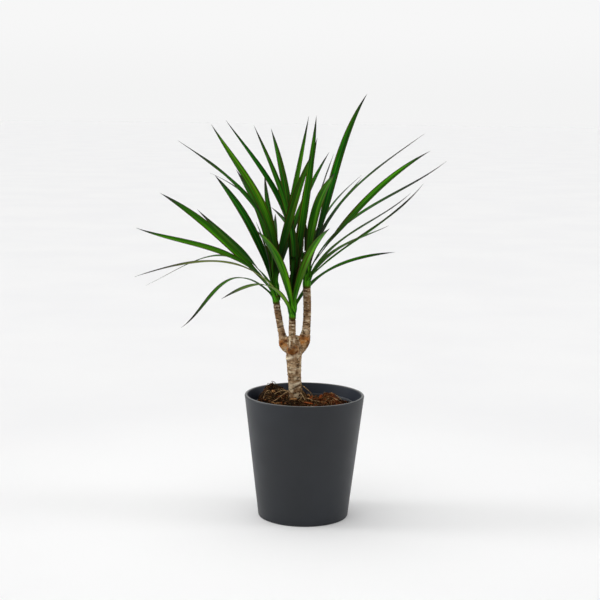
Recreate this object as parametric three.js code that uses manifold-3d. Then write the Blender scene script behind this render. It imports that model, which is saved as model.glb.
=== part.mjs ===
// Potted dracaena marginata: three slender stems grown out of one short cane, each
// with a leafy head of narrow arching blades, in a grow pot inside an outer pot.
// Millimetres, +Z up. The origin is the centre of the outer pot's underside, and
// the plant's front faces -Y.

import * as THREE from 'three';
import { mergeVertices } from 'three/addons/utils/BufferGeometryUtils.js';
import Module from 'manifold-3d';

const wasm = await Module();
wasm.setup();

// ---- Driving dimensions -----------------------------------------------------

const SEAT = 0.3; // gap between pieces that rest on each other

const POT = {
  height: 145,
  rimRadius: 70,
  baseRadius: 53,
  wall: 3.5,
  floor: 4,
  edge: 1.2, // rounding of the rim and the base
  sides: 64,
};

const GROW_POT = {
  height: 129.5,
  rimRadius: 60,
  baseRadius: 46,
  wall: 1.2,
  rollHeight: 5, // the rolled rim
  rollWidth: 1.3,
  drainHoles: 6,
  drainRadius: 3,
  drainCircle: 34,
  drainSides: 10,
  sides: 40,
};

const SOIL = {
  level: 136, // mean height of the surface above the outer pot's underside
  shore: 124, // the surface rises from the wall at this height
  slump: 4, // how far the surface sinks towards the wall
  slumpFrom: 0.82, // the share of the radius where it starts to sink
  rings: 8,
  sides: 32,
};

// Heaps and hollows of the soil: how far each rises, where it lies and how wide it is.
const MOUNDS = [
  { rise: 7, x: -10, y: -6, spread: 24 }, // round the cane
  { rise: 16, x: -42, y: 27, spread: 19 }, // the heap at the back left
  { rise: 5, x: -42, y: -5, spread: 22 },
  { rise: 12, x: 29, y: -6, spread: 13 }, // the clod at the right
  { rise: -9, x: 32, y: 34, spread: 20 }, // the hollow at the back right
];

// Pieces of bark half sunk into the soil. Width and thickness are shares of the length,
// and the tilts are in radians.
const CHIPS = {
  count: 22,
  length: 11,
  varies: 0.35, // by this share of the length
  width: 0.5,
  thickness: 0.35,
  tiltX: 0.5,
  tiltY: 0.45,
  spread: 50, // radius of the circle that they lie in
};

const CANE = {
  // Centre line, from the buried foot to the fork.
  line: [
    [-9.8, -6, 112],
    [-10, -6, 132],
    [-10.6, -6, 146],
    [-12.1, -6, 168.7],
    [-12.8, -6, 188],
    [-12.8, -5, 199],
  ],
  footRadius: 7,
  waistRadius: 7.6,
  topRadius: 9.3,
  scarPitch: 5,
  scarHeight: 0.55,
  soilLine: 146, // the ring scars show above this height
  shoulder: 192, // the cane rounds off above this height
  rounding: 1.6,
  sides: 12,
};

const FORK = {
  // The thick wood between the feet of the stems.
  centre: [-12.5, 0, 205.5],
  reach: [14.5, 8.5, 9.5],
  sides: 16,
};

const STEM = {
  knuckleSwell: 2.9,
  knuckleLength: 0.12, // as a share of the stem
  scarPitch: 4,
  scarHeight: 0.4,
  sides: 10,
};

const SCAR_WAVE = 0.4; // how far a ring scar is uneven round its stem

const STEMS = [
  {
    // left
    line: [
      [-14, -4, 190],
      [-22.5, 1, 202],
      [-25.6, 4, 210],
      [-29, 6, 223],
      [-34, 6, 250.7],
    ],
    radius: 4.1,
    knuckle: 0.27,
  },
  {
    // middle
    line: [
      [-12.9, -8, 190],
      [-14.6, -10.5, 202],
      [-15.2, -9.5, 214],
      [-15.2, -9, 234.7],
    ],
    radius: 4.2,
    knuckle: 0.22,
  },
  {
    // right
    line: [
      [-10.5, -4, 190],
      [-4.8, 1, 200],
      [-1.2, 4, 209],
      [1, 5, 221],
      [1.9, 6, 244],
      [1, 6, 269.7],
    ],
    radius: 4.7,
    knuckle: 0.24,
  },
];

const BLADE = {
  thickness: 1.2, // at the midrib
  fold: 0.08, // how far the edges stand above the midrib, as a share of the width
  rootShare: 0.55, // width at the root, as a share of the full width
  fullAt: 0.38, // where along the blade it is widest
  taper: 2.7,
  steps: 12,
  lowestRoot: 5, // heights on the head between which the blades leave it
  highestRoot: 25.5,
};

const SHEATH = { waistRadius: 5.2, tipRadius: 2.4, height: 28, sides: 10 };

// Each leafy head stands on a stem, and girth is its sheath's radius there. Its blades
// are listed from the oldest, lowest one to the youngest. turn is the way a blade points
// in plan, in degrees from +X towards +Y; reach and climb are how far out and up its tip
// lies from the head's foot; arch and tail are how far the inner and the outer half bow
// above the straight line; sway bows it sideways; twist turns its face, in degrees, over
// half of the blade, which starts at its root or at the share given as from.
const HEADS = {
  head_left: {
    foot: [-34, 6, 251],
    lean: [-0.15, 0, 1],
    girth: 4.3,
    blades: [
      { turn: 153, reach: 131, climb: -40, arch: 80, tail: 10, sway: 0, twist: 12, width: 9 },
      { turn: 159, reach: 171, climb: 11, arch: 84, tail: 28, sway: 0, twist: -8, width: 9 },
      { turn: 194, reach: 164, climb: 90, arch: 40, tail: 6, sway: 0, twist: -45, width: 8.6 },
      { turn: 133, reach: 123, climb: 146, arch: 66, tail: 44, sway: 0, twist: 15, width: 8 },
      { turn: 157, reach: 154, climb: 123, arch: 10, tail: 13, sway: 0, twist: -60, width: 9.7 },
      { turn: 157, reach: 130, climb: 186, arch: 65, tail: 32, sway: 0, twist: -10, width: 9 },
      { turn: 116, reach: 122, climb: 150, arch: 40, tail: 22, sway: 0, twist: 0, width: 9 },
      { turn: 228, reach: 128, climb: 116, arch: 9, tail: 0, sway: 0, twist: -60, width: 11.5 },
      { turn: 127, reach: 132, climb: 143, arch: 22, tail: 16, sway: 0, twist: -20, width: 10.3 },
      { turn: 92, reach: 150, climb: 93, arch: 20, tail: 10, sway: 0, twist: 20, width: 7 },
      { turn: 224, reach: 101, climb: 208, arch: 40, tail: 5, sway: 14, twist: 35, width: 10.3 },
      { turn: 61, reach: 126, climb: 173, arch: 12, tail: 14, sway: 0, twist: 0, width: 8 },
      { turn: 300, reach: 69, climb: 218, arch: -4, tail: -2, sway: 0, twist: 0, width: 8 },
      { turn: 291, reach: 107, climb: 178, arch: 10, tail: 16, sway: 2, twist: 0, width: 10.5 },
      { turn: 200, reach: 26, climb: 96, arch: 3, tail: 3, sway: 0, twist: 0, width: 7 },
    ],
  },
  head_middle: {
    foot: [-15.2, -9, 235],
    lean: [0, 0, 1],
    girth: 4.3,
    blades: [
      { turn: 240, reach: 150, climb: 41, arch: 44, tail: 24, sway: 0, twist: -5, width: 9.5 },
      { turn: 202, reach: 188, climb: 56, arch: 66, tail: 38, sway: 0, twist: -10, width: 9 },
      { turn: 30, reach: 141, climb: 72, arch: 18, tail: 16, sway: 34, twist: 45, width: 7.2, from: 0.4 },
      { turn: 85, reach: 140, climb: 78, arch: 30, tail: 22, sway: 0, twist: 0, width: 9 },
      { turn: 256, reach: 154, climb: 116, arch: 25, tail: 18, sway: 0, twist: 0, width: 10.5 },
      { turn: 284, reach: 160, climb: 120, arch: 25, tail: 21, sway: 0, twist: 0, width: 10 },
      { turn: 106, reach: 135, climb: 161, arch: 4, tail: 2, sway: 8, twist: 0, width: 8.5 },
      { turn: 144, reach: 101, climb: 227, arch: 58, tail: 19, sway: -10, twist: -15, width: 9.5 },
      { turn: 125, reach: 85, climb: 221, arch: 54, tail: 22, sway: 0, twist: 0, width: 8.5 },
      { turn: 107, reach: 99, climb: 217, arch: 44, tail: 32, sway: 0, twist: 0, width: 9.5 },
      { turn: 75, reach: 104, climb: 207, arch: 20, tail: 15, sway: 0, twist: 0, width: 8.5 },
      { turn: 58, reach: 47, climb: 234, arch: 3, tail: -5, sway: 0, twist: 30, width: 9 },
      { turn: 20, reach: 12, climb: 86, arch: 2, tail: 3, sway: 0, twist: 0, width: 5.5 },
    ],
  },
  head_right: {
    foot: [1, 6, 270],
    lean: [0, 0, 1],
    girth: 4.9,
    blades: [
      { turn: 42, reach: 134, climb: 66, arch: 28, tail: 6, sway: 0, twist: -2, width: 8 },
      { turn: 26, reach: 137, climb: 108, arch: 28, tail: -3, sway: 0, twist: -5, width: 9 },
      { turn: 335, reach: 141, climb: 126, arch: 8, tail: -12, sway: 0, twist: -9, width: 9 },
      { turn: 86, reach: 138, climb: 50, arch: 34, tail: 20, sway: 0, twist: 0, width: 9 },
      { turn: 7, reach: 162, climb: 148, arch: 42, tail: 2, sway: 0, twist: 12, width: 9 },
      { turn: 59, reach: 128, climb: 126, arch: 44, tail: 20, sway: 0, twist: -27, width: 7 },
      { turn: 51, reach: 103, climb: 124, arch: 26, tail: 10, sway: 0, twist: -15, width: 8 },
      { turn: 112, reach: 119, climb: 85, arch: 25, tail: 15, sway: 0, twist: 0, width: 7 },
      { turn: 281, reach: 143, climb: 141, arch: 46, tail: 24, sway: 0, twist: 0, width: 11 },
      { turn: 340, reach: 144, climb: 162, arch: 10, tail: 19, sway: 0, twist: 75, width: 8.2 },
      { turn: 20, reach: 146, climb: 179, arch: 40, tail: 17, sway: 0, twist: 0, width: 8.5 },
      { turn: 74, reach: 114, climb: 152, arch: 30, tail: 13, sway: 0, twist: -50, width: 7 },
      { turn: 24, reach: 74, climb: 225, arch: -3, tail: 18, sway: 0, twist: 45, width: 10 },
      { turn: 110, reach: 9, climb: 78, arch: 2, tail: 3, sway: 0, twist: 0, width: 6 },
    ],
  },
};

// ---- Solids -----------------------------------------------------------------

const UP = new THREE.Vector3(0, 0, 1);
const RIGHT = new THREE.Vector3(1, 0, 0);
const FULL_TURN = 2 * Math.PI;
const WELD = 1e-4; // corners closer than this are one
const GOLDEN_ANGLE = 2.4;

const radians = THREE.MathUtils.degToRad;
const vector = (coordinates) => new THREE.Vector3(...coordinates);
const smooth = (share) => THREE.MathUtils.smoothstep(share, 0, 1);

// A closed geometry as a solid that can be joined and cut.
function toSolid(geometry) {
  const bare = new THREE.BufferGeometry();
  bare.setAttribute('position', geometry.getAttribute('position'));
  bare.setIndex(geometry.index);
  const welded = mergeVertices(bare, WELD);
  const corners = welded.index.array;
  const kept = [];
  for (let i = 0; i < corners.length; i += 3) {
    const [a, b, c] = corners.slice(i, i + 3);
    if (a !== b && b !== c && c !== a) kept.push(a, b, c);
  }
  return new wasm.Manifold(
    new wasm.Mesh({
      numProp: 3,
      vertProperties: new Float32Array(welded.getAttribute('position').array),
      triVerts: new Uint32Array(kept),
    }),
  );
}

// A joined or cut solid back as a geometry.
function toGeometry(solid) {
  const { vertProperties, triVerts } = solid.getMesh();
  const geometry = new THREE.BufferGeometry();
  geometry.setAttribute('position', new THREE.BufferAttribute(vertProperties, 3));
  geometry.setIndex(new THREE.BufferAttribute(triVerts, 1));
  geometry.computeVertexNormals();
  return geometry;
}

// All the geometries joined into one body. Its outer skin is kept, so a hollow that
// blades close off between them is filled.
function fused(geometries) {
  const [first, ...others] = geometries.map(toSolid);
  const whole = others.reduce((joined, other) => joined.add(other), first);
  const skins = whole.decompose().sort((a, b) => b.volume() - a.volume());
  return skins[0];
}

// A closed skin over rings of corners that run counter-clockwise about the way the
// rings follow each other. The last ring may be a single point. The quads' diagonals
// alternate round the ring, so that both faces of a blade are split alike.
function skin(rings) {
  const corners = rings.flat();
  const faces = [];
  const sides = rings[0].length;
  for (let i = 0; i + 1 < rings.length; i += 1) {
    const here = i * sides;
    const next = here + sides;
    for (let j = 0; j < sides; j += 1) {
      const k = (j + 1) % sides;
      if (rings[i + 1].length === 1) faces.push(here + j, here + k, next);
      else if (j % 2 === 0) {
        faces.push(here + j, here + k, next + k);
        faces.push(here + j, next + k, next + j);
      } else {
        faces.push(here + j, here + k, next + j);
        faces.push(here + k, next + k, next + j);
      }
    }
  }
  const closing = (rings.length - 1) * sides;
  for (let j = 1; j + 1 < sides; j += 1) {
    faces.push(0, j + 1, j);
    if (rings.at(-1).length > 1) faces.push(closing, closing + j, closing + j + 1);
  }
  return new THREE.BufferGeometry().setFromPoints(corners).setIndex(faces);
}

// A closed tube along a curve, with the radius given at each share of its length.
function tube(curve, steps, sides, radiusAt) {
  const rings = [];
  for (let i = 0; i <= steps; i += 1) {
    const share = i / steps;
    const centre = curve.getPointAt(share);
    const along = curve.getTangentAt(share);
    const across = RIGHT.clone().addScaledVector(along, -along.x).normalize();
    const beside = along.clone().cross(across);
    const ring = [];
    for (let j = 0; j < sides; j += 1) {
      const angle = (FULL_TURN * j) / sides;
      const radius = radiusAt(share, angle);
      ring.push(
        centre
          .clone()
          .addScaledVector(across, radius * Math.cos(angle))
          .addScaledVector(beside, radius * Math.sin(angle)),
      );
    }
    rings.push(ring);
  }
  return skin(rings);
}

// A profile of [radius, height] points turned about the +Z axis.
function turned(profile, sides) {
  const points = profile.map(([radius, height]) => new THREE.Vector2(radius, height));
  return new THREE.LatheGeometry(points, sides).rotateX(Math.PI / 2);
}

// The points of a rounded corner, from one angle to another in degrees.
function rounded([radius, height], size, from, to) {
  return [0, 0.5, 1].map((share) => {
    const angle = radians(from + (to - from) * share);
    return [radius + size * Math.cos(angle), height + size * Math.sin(angle)];
  });
}

// ---- Pots -------------------------------------------------------------------

function outerPot() {
  const { height, rimRadius, baseRadius, wall, floor, edge, sides } = POT;
  const slope = (rimRadius - baseRadius) / height;
  const innerAtFloor = baseRadius + slope * floor - wall;
  return turned(
    [
      [0, 0],
      ...rounded([baseRadius - edge, edge], edge, -90, 0),
      ...rounded([rimRadius - edge, height - edge], edge, 0, 90),
      ...rounded([rimRadius - wall + edge, height - edge], edge, 90, 180),
      [innerAtFloor + slope * wall, floor + wall],
      [innerAtFloor - wall, floor],
      [0, floor],
    ],
    sides,
  );
}

const growPotFoot = POT.floor + SEAT;

// Radius of the grow pot's inner wall at a height above its own underside.
function growPotInside(height) {
  const share = height / GROW_POT.height;
  const outside = THREE.MathUtils.lerp(GROW_POT.baseRadius, GROW_POT.rimRadius, share);
  return outside - GROW_POT.rollWidth - GROW_POT.wall;
}

function growPot() {
  const { height, rimRadius, baseRadius, wall, rollHeight, rollWidth, sides } = GROW_POT;
  const bottom = growPotFoot;
  const rollFoot = height - rollHeight;
  const body = turned(
    [
      [0, bottom],
      [baseRadius - rollWidth, bottom],
      [growPotInside(rollFoot) + wall, bottom + rollFoot],
      [rimRadius, bottom + rollFoot],
      [rimRadius, bottom + height - wall],
      [rimRadius - wall, bottom + height],
      [growPotInside(height), bottom + height],
      [growPotInside(wall), bottom + wall],
      [0, bottom + wall],
    ],
    sides,
  );
  let pot = toSolid(body);
  for (let i = 0; i < GROW_POT.drainHoles; i += 1) {
    const angle = (FULL_TURN * i) / GROW_POT.drainHoles;
    const hole = new THREE.CylinderGeometry(
      GROW_POT.drainRadius,
      GROW_POT.drainRadius,
      4 * wall,
      GROW_POT.drainSides,
    );
    hole.rotateX(Math.PI / 2);
    hole.translate(
      GROW_POT.drainCircle * Math.cos(angle),
      GROW_POT.drainCircle * Math.sin(angle),
      bottom,
    );
    pot = pot.subtract(toSolid(hole));
  }
  return toGeometry(pot);
}

// ---- Trunk ------------------------------------------------------------------

const caneCurve = new THREE.CatmullRomCurve3(CANE.line.map(vector));

function caneRadius(height) {
  const { soilLine, shoulder, footRadius, waistRadius, topRadius } = CANE;
  if (height < soilLine) return footRadius;
  const share = Math.min(1, (height - soilLine) / (shoulder - soilLine));
  return THREE.MathUtils.lerp(waistRadius, topRadius, share * share);
}

const scarWave = (angle) => 1 - SCAR_WAVE + SCAR_WAVE * Math.cos(angle);

// The cane, ringed by its scars, with a rounded top that the stems grow from.
function cane() {
  const length = caneCurve.getLength();
  const scars = Math.round(length / CANE.scarPitch);
  return tube(caneCurve, 2 * scars, CANE.sides, (share, angle) => {
    const height = caneCurve.getPointAt(share).z;
    const top = Math.max(0, (height - CANE.shoulder) / CANE.scarPitch);
    const scar = height > CANE.soilLine ? Math.sin(Math.PI * scars * share) ** 2 : 0;
    const relief = CANE.scarHeight * scar * scarWave(angle - scars * share);
    return caneRadius(height) + relief - CANE.rounding * top * top;
  });
}

// A stem, thickened where it leaves the cane.
function stem({ line, radius, knuckle }) {
  const curve = new THREE.CatmullRomCurve3(line.map(vector));
  const scars = Math.round(curve.getLength() / STEM.scarPitch);
  return tube(curve, 2 * scars, STEM.sides, (share, angle) => {
    const off = (share - knuckle) / STEM.knuckleLength;
    const scar = Math.sin(Math.PI * scars * share) ** 2;
    const relief = STEM.scarHeight * scar * scarWave(angle + 2 * scars * share);
    return radius + STEM.knuckleSwell * Math.exp(-off * off) + relief;
  });
}

function fork() {
  const ball = new THREE.SphereGeometry(1, FORK.sides, FORK.sides / 2);
  return ball.scale(...FORK.reach).translate(...FORK.centre);
}

function trunk() {
  return toGeometry(fused([cane(), fork(), ...STEMS.map(stem)]));
}

// ---- Soil -------------------------------------------------------------------

// The flat between two of the soil's sides lies a little inside the grow pot's wall.
const soilReach = (height) => growPotInside(height - growPotFoot) - 2 * SEAT;

// Height of the soil's surface: its mounds, under a fine unevenness.
function soilHeight(x, y) {
  const lumps =
    1.3 * Math.sin(0.31 * x + 1) * Math.cos(0.27 * y) +
    0.9 * Math.sin(0.53 * x - 0.47 * y);
  const mounds = MOUNDS.reduce((height, mound) => {
    const away = Math.hypot(x - mound.x, y - mound.y) / mound.spread;
    return height + mound.rise * Math.exp(-away * away);
  }, 0);
  const out = Math.hypot(x, y) / soilReach(SOIL.shore);
  const slump = SOIL.slump * smooth((out - SOIL.slumpFrom) / (1 - SOIL.slumpFrom));
  return SOIL.level + mounds + lumps - slump;
}

function soilBody() {
  const bottom = growPotFoot + GROW_POT.wall + SEAT;
  const rings = [];
  const ringAt = (radius, heightAt) => {
    const ring = [];
    for (let j = 0; j < SOIL.sides; j += 1) {
      const angle = (FULL_TURN * j) / SOIL.sides;
      const x = radius * Math.cos(angle);
      const y = radius * Math.sin(angle);
      ring.push(new THREE.Vector3(x, y, heightAt(x, y)));
    }
    return ring;
  };
  const reach = soilReach(SOIL.shore);
  rings.push(ringAt(soilReach(bottom), () => bottom));
  rings.push(ringAt(reach, () => SOIL.shore));
  for (let i = 0; i < SOIL.rings; i += 1) {
    rings.push(ringAt(reach * (1 - i / SOIL.rings), soilHeight));
  }
  rings.push([new THREE.Vector3(0, 0, soilHeight(0, 0))]);
  return skin(rings);
}

// A piece of bark, half sunk into the surface. The golden angle spreads the pieces.
function barkChip(order) {
  const { count, length, varies, width, thickness, tiltX, tiltY, spread } = CHIPS;
  const away = spread * Math.sqrt((order + 0.5) / count);
  const x = away * Math.cos(GOLDEN_ANGLE * order);
  const y = away * Math.sin(GOLDEN_ANGLE * order);
  const size = length * (0.8 + varies * Math.sin(3 * order));
  const chip = new THREE.BoxGeometry(size, width * size, thickness * size);
  chip.rotateX(tiltX * Math.sin(5 * order));
  chip.rotateY(tiltY * Math.sin(7 * order));
  chip.rotateZ(2 * order);
  return chip.translate(x, y, soilHeight(x, y));
}

function soil() {
  const chips = Array.from({ length: CHIPS.count }, (_, order) => barkChip(order));
  const hole = tube(caneCurve, 40, CANE.sides, (share) => {
    const height = caneCurve.getPointAt(share).z;
    return caneRadius(height) + CANE.scarHeight + 2 * SEAT;
  });
  return toGeometry(fused([soilBody(), ...chips]).subtract(toSolid(hole)));
}

// ---- Leafy heads ------------------------------------------------------------

// The centre line of a blade, from inside the sheath to its tip.
function bladeCurve(head, blade, root) {
  const foot = vector(head.foot);
  const start = foot.clone().addScaledVector(vector(head.lean), root);
  const turn = radians(blade.turn);
  const tip = new THREE.Vector3(
    blade.reach * Math.cos(turn),
    blade.reach * Math.sin(turn),
    blade.climb,
  ).add(foot);
  const chord = tip.clone().sub(start);
  const side = UP.clone().cross(chord).normalize();
  const over = chord.clone().cross(side).normalize();
  const bowed = (share, height) =>
    start
      .clone()
      .addScaledVector(chord, share)
      .addScaledVector(over, height)
      .addScaledVector(side, blade.sway);
  return new THREE.CubicBezierCurve3(
    start,
    bowed(1 / 3, blade.arch),
    bowed(2 / 3, blade.tail),
    tip,
  );
}

// Half the width of a blade, as a share of its half width at the widest.
function bladeOutline(share) {
  const { rootShare, fullAt, taper } = BLADE;
  if (share < fullAt) return THREE.MathUtils.lerp(rootShare, 1, smooth(share / fullAt));
  return 1 - ((share - fullAt) / (1 - fullAt)) ** taper;
}

// A narrow pointed blade with a folded midrib, four corners to each section.
function blade(head, form, root) {
  const curve = bladeCurve(head, form, root);
  const rings = [];
  for (let i = 0; i < BLADE.steps; i += 1) {
    const share = i / BLADE.steps;
    const centre = curve.getPointAt(share);
    const along = curve.getTangentAt(share);
    const level = UP.clone().cross(along).normalize();
    const turned = radians(form.twist) * smooth(2 * (share - (form.from ?? 0)));
    const across = level.applyAxisAngle(along, turned);
    const face = along.clone().cross(across);
    const half = (form.width / 2) * bladeOutline(share);
    const thin = BLADE.thickness * (0.5 + 0.5 * bladeOutline(share));
    const lift = 2 * half * BLADE.fold;
    const corner = (sideways, above) =>
      centre.clone().addScaledVector(across, sideways).addScaledVector(face, above);
    rings.push([
      corner(0, thin / 2),
      corner(-half, lift),
      corner(0, -thin / 2),
      corner(half, lift),
    ]);
  }
  rings.push([curve.getPointAt(1)]);
  return skin(rings);
}

// The young leaf bases that wrap each other at the top of a stem.
function sheath(head) {
  const foot = vector(head.foot);
  const top = foot.clone().addScaledVector(vector(head.lean), SHEATH.height);
  const { waistRadius, tipRadius } = SHEATH;
  return tube(new THREE.LineCurve3(foot, top), 4, SHEATH.sides, (share) => {
    if (share < 0.5) return THREE.MathUtils.lerp(head.girth, waistRadius, 2 * share);
    return THREE.MathUtils.lerp(waistRadius, tipRadius, 2 * share - 1);
  });
}

function leafyHead(head) {
  const { lowestRoot, highestRoot } = BLADE;
  const last = head.blades.length - 1;
  const blades = head.blades.map((form, order) =>
    blade(head, form, THREE.MathUtils.lerp(lowestRoot, highestRoot, order / last)),
  );
  return toGeometry(fused([sheath(head), ...blades]));
}

// ---- The plant --------------------------------------------------------------

const finish = {
  charcoal: { color: 0x3c3e40, roughness: 0.6, metalness: 0 },
  blackPlastic: { color: 0x1b1c1e, roughness: 0.5, metalness: 0 },
  bark: { color: 0x3a2417, roughness: 0.95, metalness: 0 },
  cane: { color: 0xa38561, roughness: 0.85, metalness: 0 },
  leaf: { color: 0x1f6a22, roughness: 0.45, metalness: 0 },
};

const plant = new THREE.Group();

function place(name, geometry, look) {
  const mesh = new THREE.Mesh(geometry, new THREE.MeshStandardMaterial(look));
  mesh.name = name;
  plant.add(mesh);
}

place('pot', outerPot(), finish.charcoal);
place('grow_pot', growPot(), finish.blackPlastic);
place('soil', soil(), finish.bark);
place('trunk', trunk(), finish.cane);
for (const [name, head] of Object.entries(HEADS)) {
  place(name, leafyHead(head), finish.leaf);
}

export default plant;
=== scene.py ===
# %% [markdown]
# # A potted dragon tree
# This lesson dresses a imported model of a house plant: a dark tapered pot, a nursery pot
# inside it, bark mulch, a ringed cane that forks into three stems, and three heads of
# narrow arching leaves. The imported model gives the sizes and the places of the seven
# parts. Everything that the eye enjoys is made here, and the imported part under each
# piece is then hidden.
#
# The frame comes first, because every later measure hangs on it. Its box is kept, so
# that the finished plant can be held against it at the end.

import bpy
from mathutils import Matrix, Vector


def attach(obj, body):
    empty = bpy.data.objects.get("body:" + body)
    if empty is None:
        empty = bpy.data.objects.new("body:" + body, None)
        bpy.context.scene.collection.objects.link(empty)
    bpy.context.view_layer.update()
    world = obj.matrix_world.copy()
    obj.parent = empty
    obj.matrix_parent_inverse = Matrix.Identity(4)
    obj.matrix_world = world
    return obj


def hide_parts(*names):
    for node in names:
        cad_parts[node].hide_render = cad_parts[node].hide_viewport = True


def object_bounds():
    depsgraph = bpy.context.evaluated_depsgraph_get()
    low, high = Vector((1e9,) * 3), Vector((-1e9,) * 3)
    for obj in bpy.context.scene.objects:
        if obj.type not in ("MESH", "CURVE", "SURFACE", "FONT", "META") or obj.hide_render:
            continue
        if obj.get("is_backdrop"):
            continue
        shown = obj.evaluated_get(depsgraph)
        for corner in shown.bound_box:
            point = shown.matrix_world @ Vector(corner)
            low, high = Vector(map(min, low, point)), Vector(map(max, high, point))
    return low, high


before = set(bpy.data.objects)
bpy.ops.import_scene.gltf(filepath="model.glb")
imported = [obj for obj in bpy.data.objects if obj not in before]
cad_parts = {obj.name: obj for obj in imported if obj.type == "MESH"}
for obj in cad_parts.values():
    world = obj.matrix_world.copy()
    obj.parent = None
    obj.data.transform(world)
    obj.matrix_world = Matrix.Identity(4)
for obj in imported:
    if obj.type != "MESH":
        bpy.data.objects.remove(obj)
cad_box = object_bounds()
print("packed parts:", ", ".join(sorted(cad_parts)))
print("packed box in mm:", [[round(1000 * side, 1) for side in corner] for corner in cad_box])

# %% [markdown]
# The shapes are worked out with numpy in millimetres, the unit in which one thinks of a
# pot or a leaf, and only the last step turns them into Blender's metres. One seeded
# source of random numbers serves the whole lesson, so each run gives the same plant.

# %% Units and the source of chance
import math

import bpy
import numpy as np
from mathutils import Matrix, Vector, noise

MM = 0.001
FULL_TURN = 2 * math.pi
UP = np.array([0.0, 0.0, 1.0])
chance = np.random.default_rng(20)
print("working in millimetres, one is", MM, "of a Blender unit")

# %% [markdown]
# Nearly every piece of this plant is a skin over rings of points: a pot is rings about
# one axis, a stem is rings along a bent line, and a leaf is flat rings along an arch.
# So a few helpers draw rings, cover them with faces and close their ends, and one turns
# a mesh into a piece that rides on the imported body. Values that the finishes need later,
# such as how far along a leaf a point lies, are stored on the points as attributes.

# %% Helpers that make a piece
def unit(vectors):
    """The same directions with length one, for one vector or for many rows of them."""
    return vectors / np.linalg.norm(vectors, axis=-1, keepdims=True)


def smooth(share):
    """Nought below 0, one above 1, and an S-shaped way between them."""
    share = np.clip(share, 0, 1)
    return share * share * (3 - 2 * share)


def circle(sides):
    """Points [x, y] on a circle of radius one, counter-clockwise from +X."""
    angles = FULL_TURN * np.arange(sides) / sides
    return np.column_stack([np.cos(angles), np.sin(angles)])


def lifted(flat, height):
    """Points [x, y] raised to one height, or each to a height of its own."""
    return np.column_stack([flat, np.broadcast_to(height, len(flat))])


def skin(rings, sides, first=0, capped=True):
    """Quads over rings of points that turn counter-clockwise about the way they follow."""
    faces = []
    for ring in range(rings - 1):
        here = first + ring * sides
        for j in range(sides):
            k = (j + 1) % sides
            faces.append((here + j, here + k, here + sides + k, here + sides + j))
    if capped:
        faces.append(tuple(first + j for j in reversed(range(sides))))
        faces.append(tuple(first + (rings - 1) * sides + j for j in range(sides)))
    return faces


def new_mesh(name, points, faces):
    """A Blender mesh from points in millimetres."""
    mesh = bpy.data.meshes.new(name)
    mesh.from_pydata((np.asarray(points) * MM).tolist(), [], faces)
    mesh.validate()
    return mesh


def closed(name, rings, bottom, top):
    """A mesh from level rings, closed at both ends by a point on the axis."""
    sides = len(rings[0])
    points = np.vstack([*rings, (0, 0, bottom), (0, 0, top)])
    faces = skin(len(rings), sides, capped=False)
    under, last = len(points) - 2, (len(rings) - 1) * sides
    for j in range(sides):
        k = (j + 1) % sides
        faces.append((under, k, j))
        faces.append((last + j, last + k, under + 1))
    return new_mesh(name, points, faces)


def put_up(name, data):
    """A new object in the scene, from a mesh, a lamp or a camera."""
    made = bpy.data.objects.new(name, data)
    bpy.context.scene.collection.objects.link(made)
    return made


def worked_in(body):
    """The body's mesh with its modifiers applied; the body itself is taken away."""
    seen = body.evaluated_get(bpy.context.evaluated_depsgraph_get())
    done = bpy.data.meshes.new_from_object(seen)
    bpy.data.objects.remove(body)
    return done


def store(mesh, **values):
    """Keeps one number for each point under each of the given names."""
    for name, numbers in values.items():
        attribute = mesh.attributes.new(name, "FLOAT", "POINT")
        attribute.data.foreach_set("value", np.asarray(numbers, dtype=np.float32))


def add_piece(name, mesh, finish, slot, *replaced, sharp_above=50):
    """Shows a mesh as a piece of the plant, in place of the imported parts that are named."""
    mesh.shade_smooth()
    mesh.set_sharp_from_angle(angle=math.radians(sharp_above))
    mesh.materials.append(finish)
    piece = put_up(name, mesh)
    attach(piece, "root")
    if replaced:
        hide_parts(*replaced)
    low, high = np.array(piece.bound_box)[[0, 6]] / MM
    print(f"{name}: {len(mesh.polygons)} faces, from {low.round(1)} to {high.round(1)} mm")
    return piece


# %% [markdown]
# A finish is a tree of nodes. Written out in full, each one takes pages, so a few
# helpers keep it to a line per node: one adds a node and fills its sockets, one mixes
# two colours, one picks out a range of a value, and one reads a value that was stored
# on the points. A socket that is handed in is linked, and a plain number is set. Most
# finishes are then a ground colour under a list of layers, as a painter would glaze it.

# %% Helpers that mix a finish
def new_finish(name):
    finish = bpy.data.materials.new(name)
    finish.use_nodes = True
    return finish


def add_node(finish, kind, inputs, **settings):
    node = finish.node_tree.nodes.new("ShaderNode" + kind)
    for name, value in settings.items():
        setattr(node, name, value)
    for name, value in inputs.items():
        if isinstance(value, bpy.types.NodeSocket):
            finish.node_tree.links.new(value, node.inputs[name])
        else:
            node.inputs[name].default_value = value
    return node


def stored(finish, name):
    return add_node(finish, "Attribute", {}, attribute_name=name).outputs["Fac"]


def mixed(finish, share, first, second):
    """The first colour where share is 0, and the second where it is 1."""
    inputs = {0: share, 6: first, 7: second}
    return add_node(finish, "Mix", inputs, data_type="RGBA").outputs[2]


def picked(finish, value, low, high):
    """Nought up to low and one from high on; the two may be given the other way round."""
    inputs = {"Value": value, "From Min": low, "From Max": high}
    node = add_node(finish, "MapRange", inputs, interpolation_type="SMOOTHSTEP")
    return node.outputs["Result"]


def computed(finish, operation, first, second):
    node = add_node(finish, "Math", {0: first, 1: second}, operation=operation)
    return node.outputs[0]


def ranged(finish, value, low, high):
    """A value from 0 to 1, spread over another range."""
    inputs = {"Value": value, "To Min": low, "To Max": high}
    return add_node(finish, "MapRange", inputs).outputs["Result"]


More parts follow.
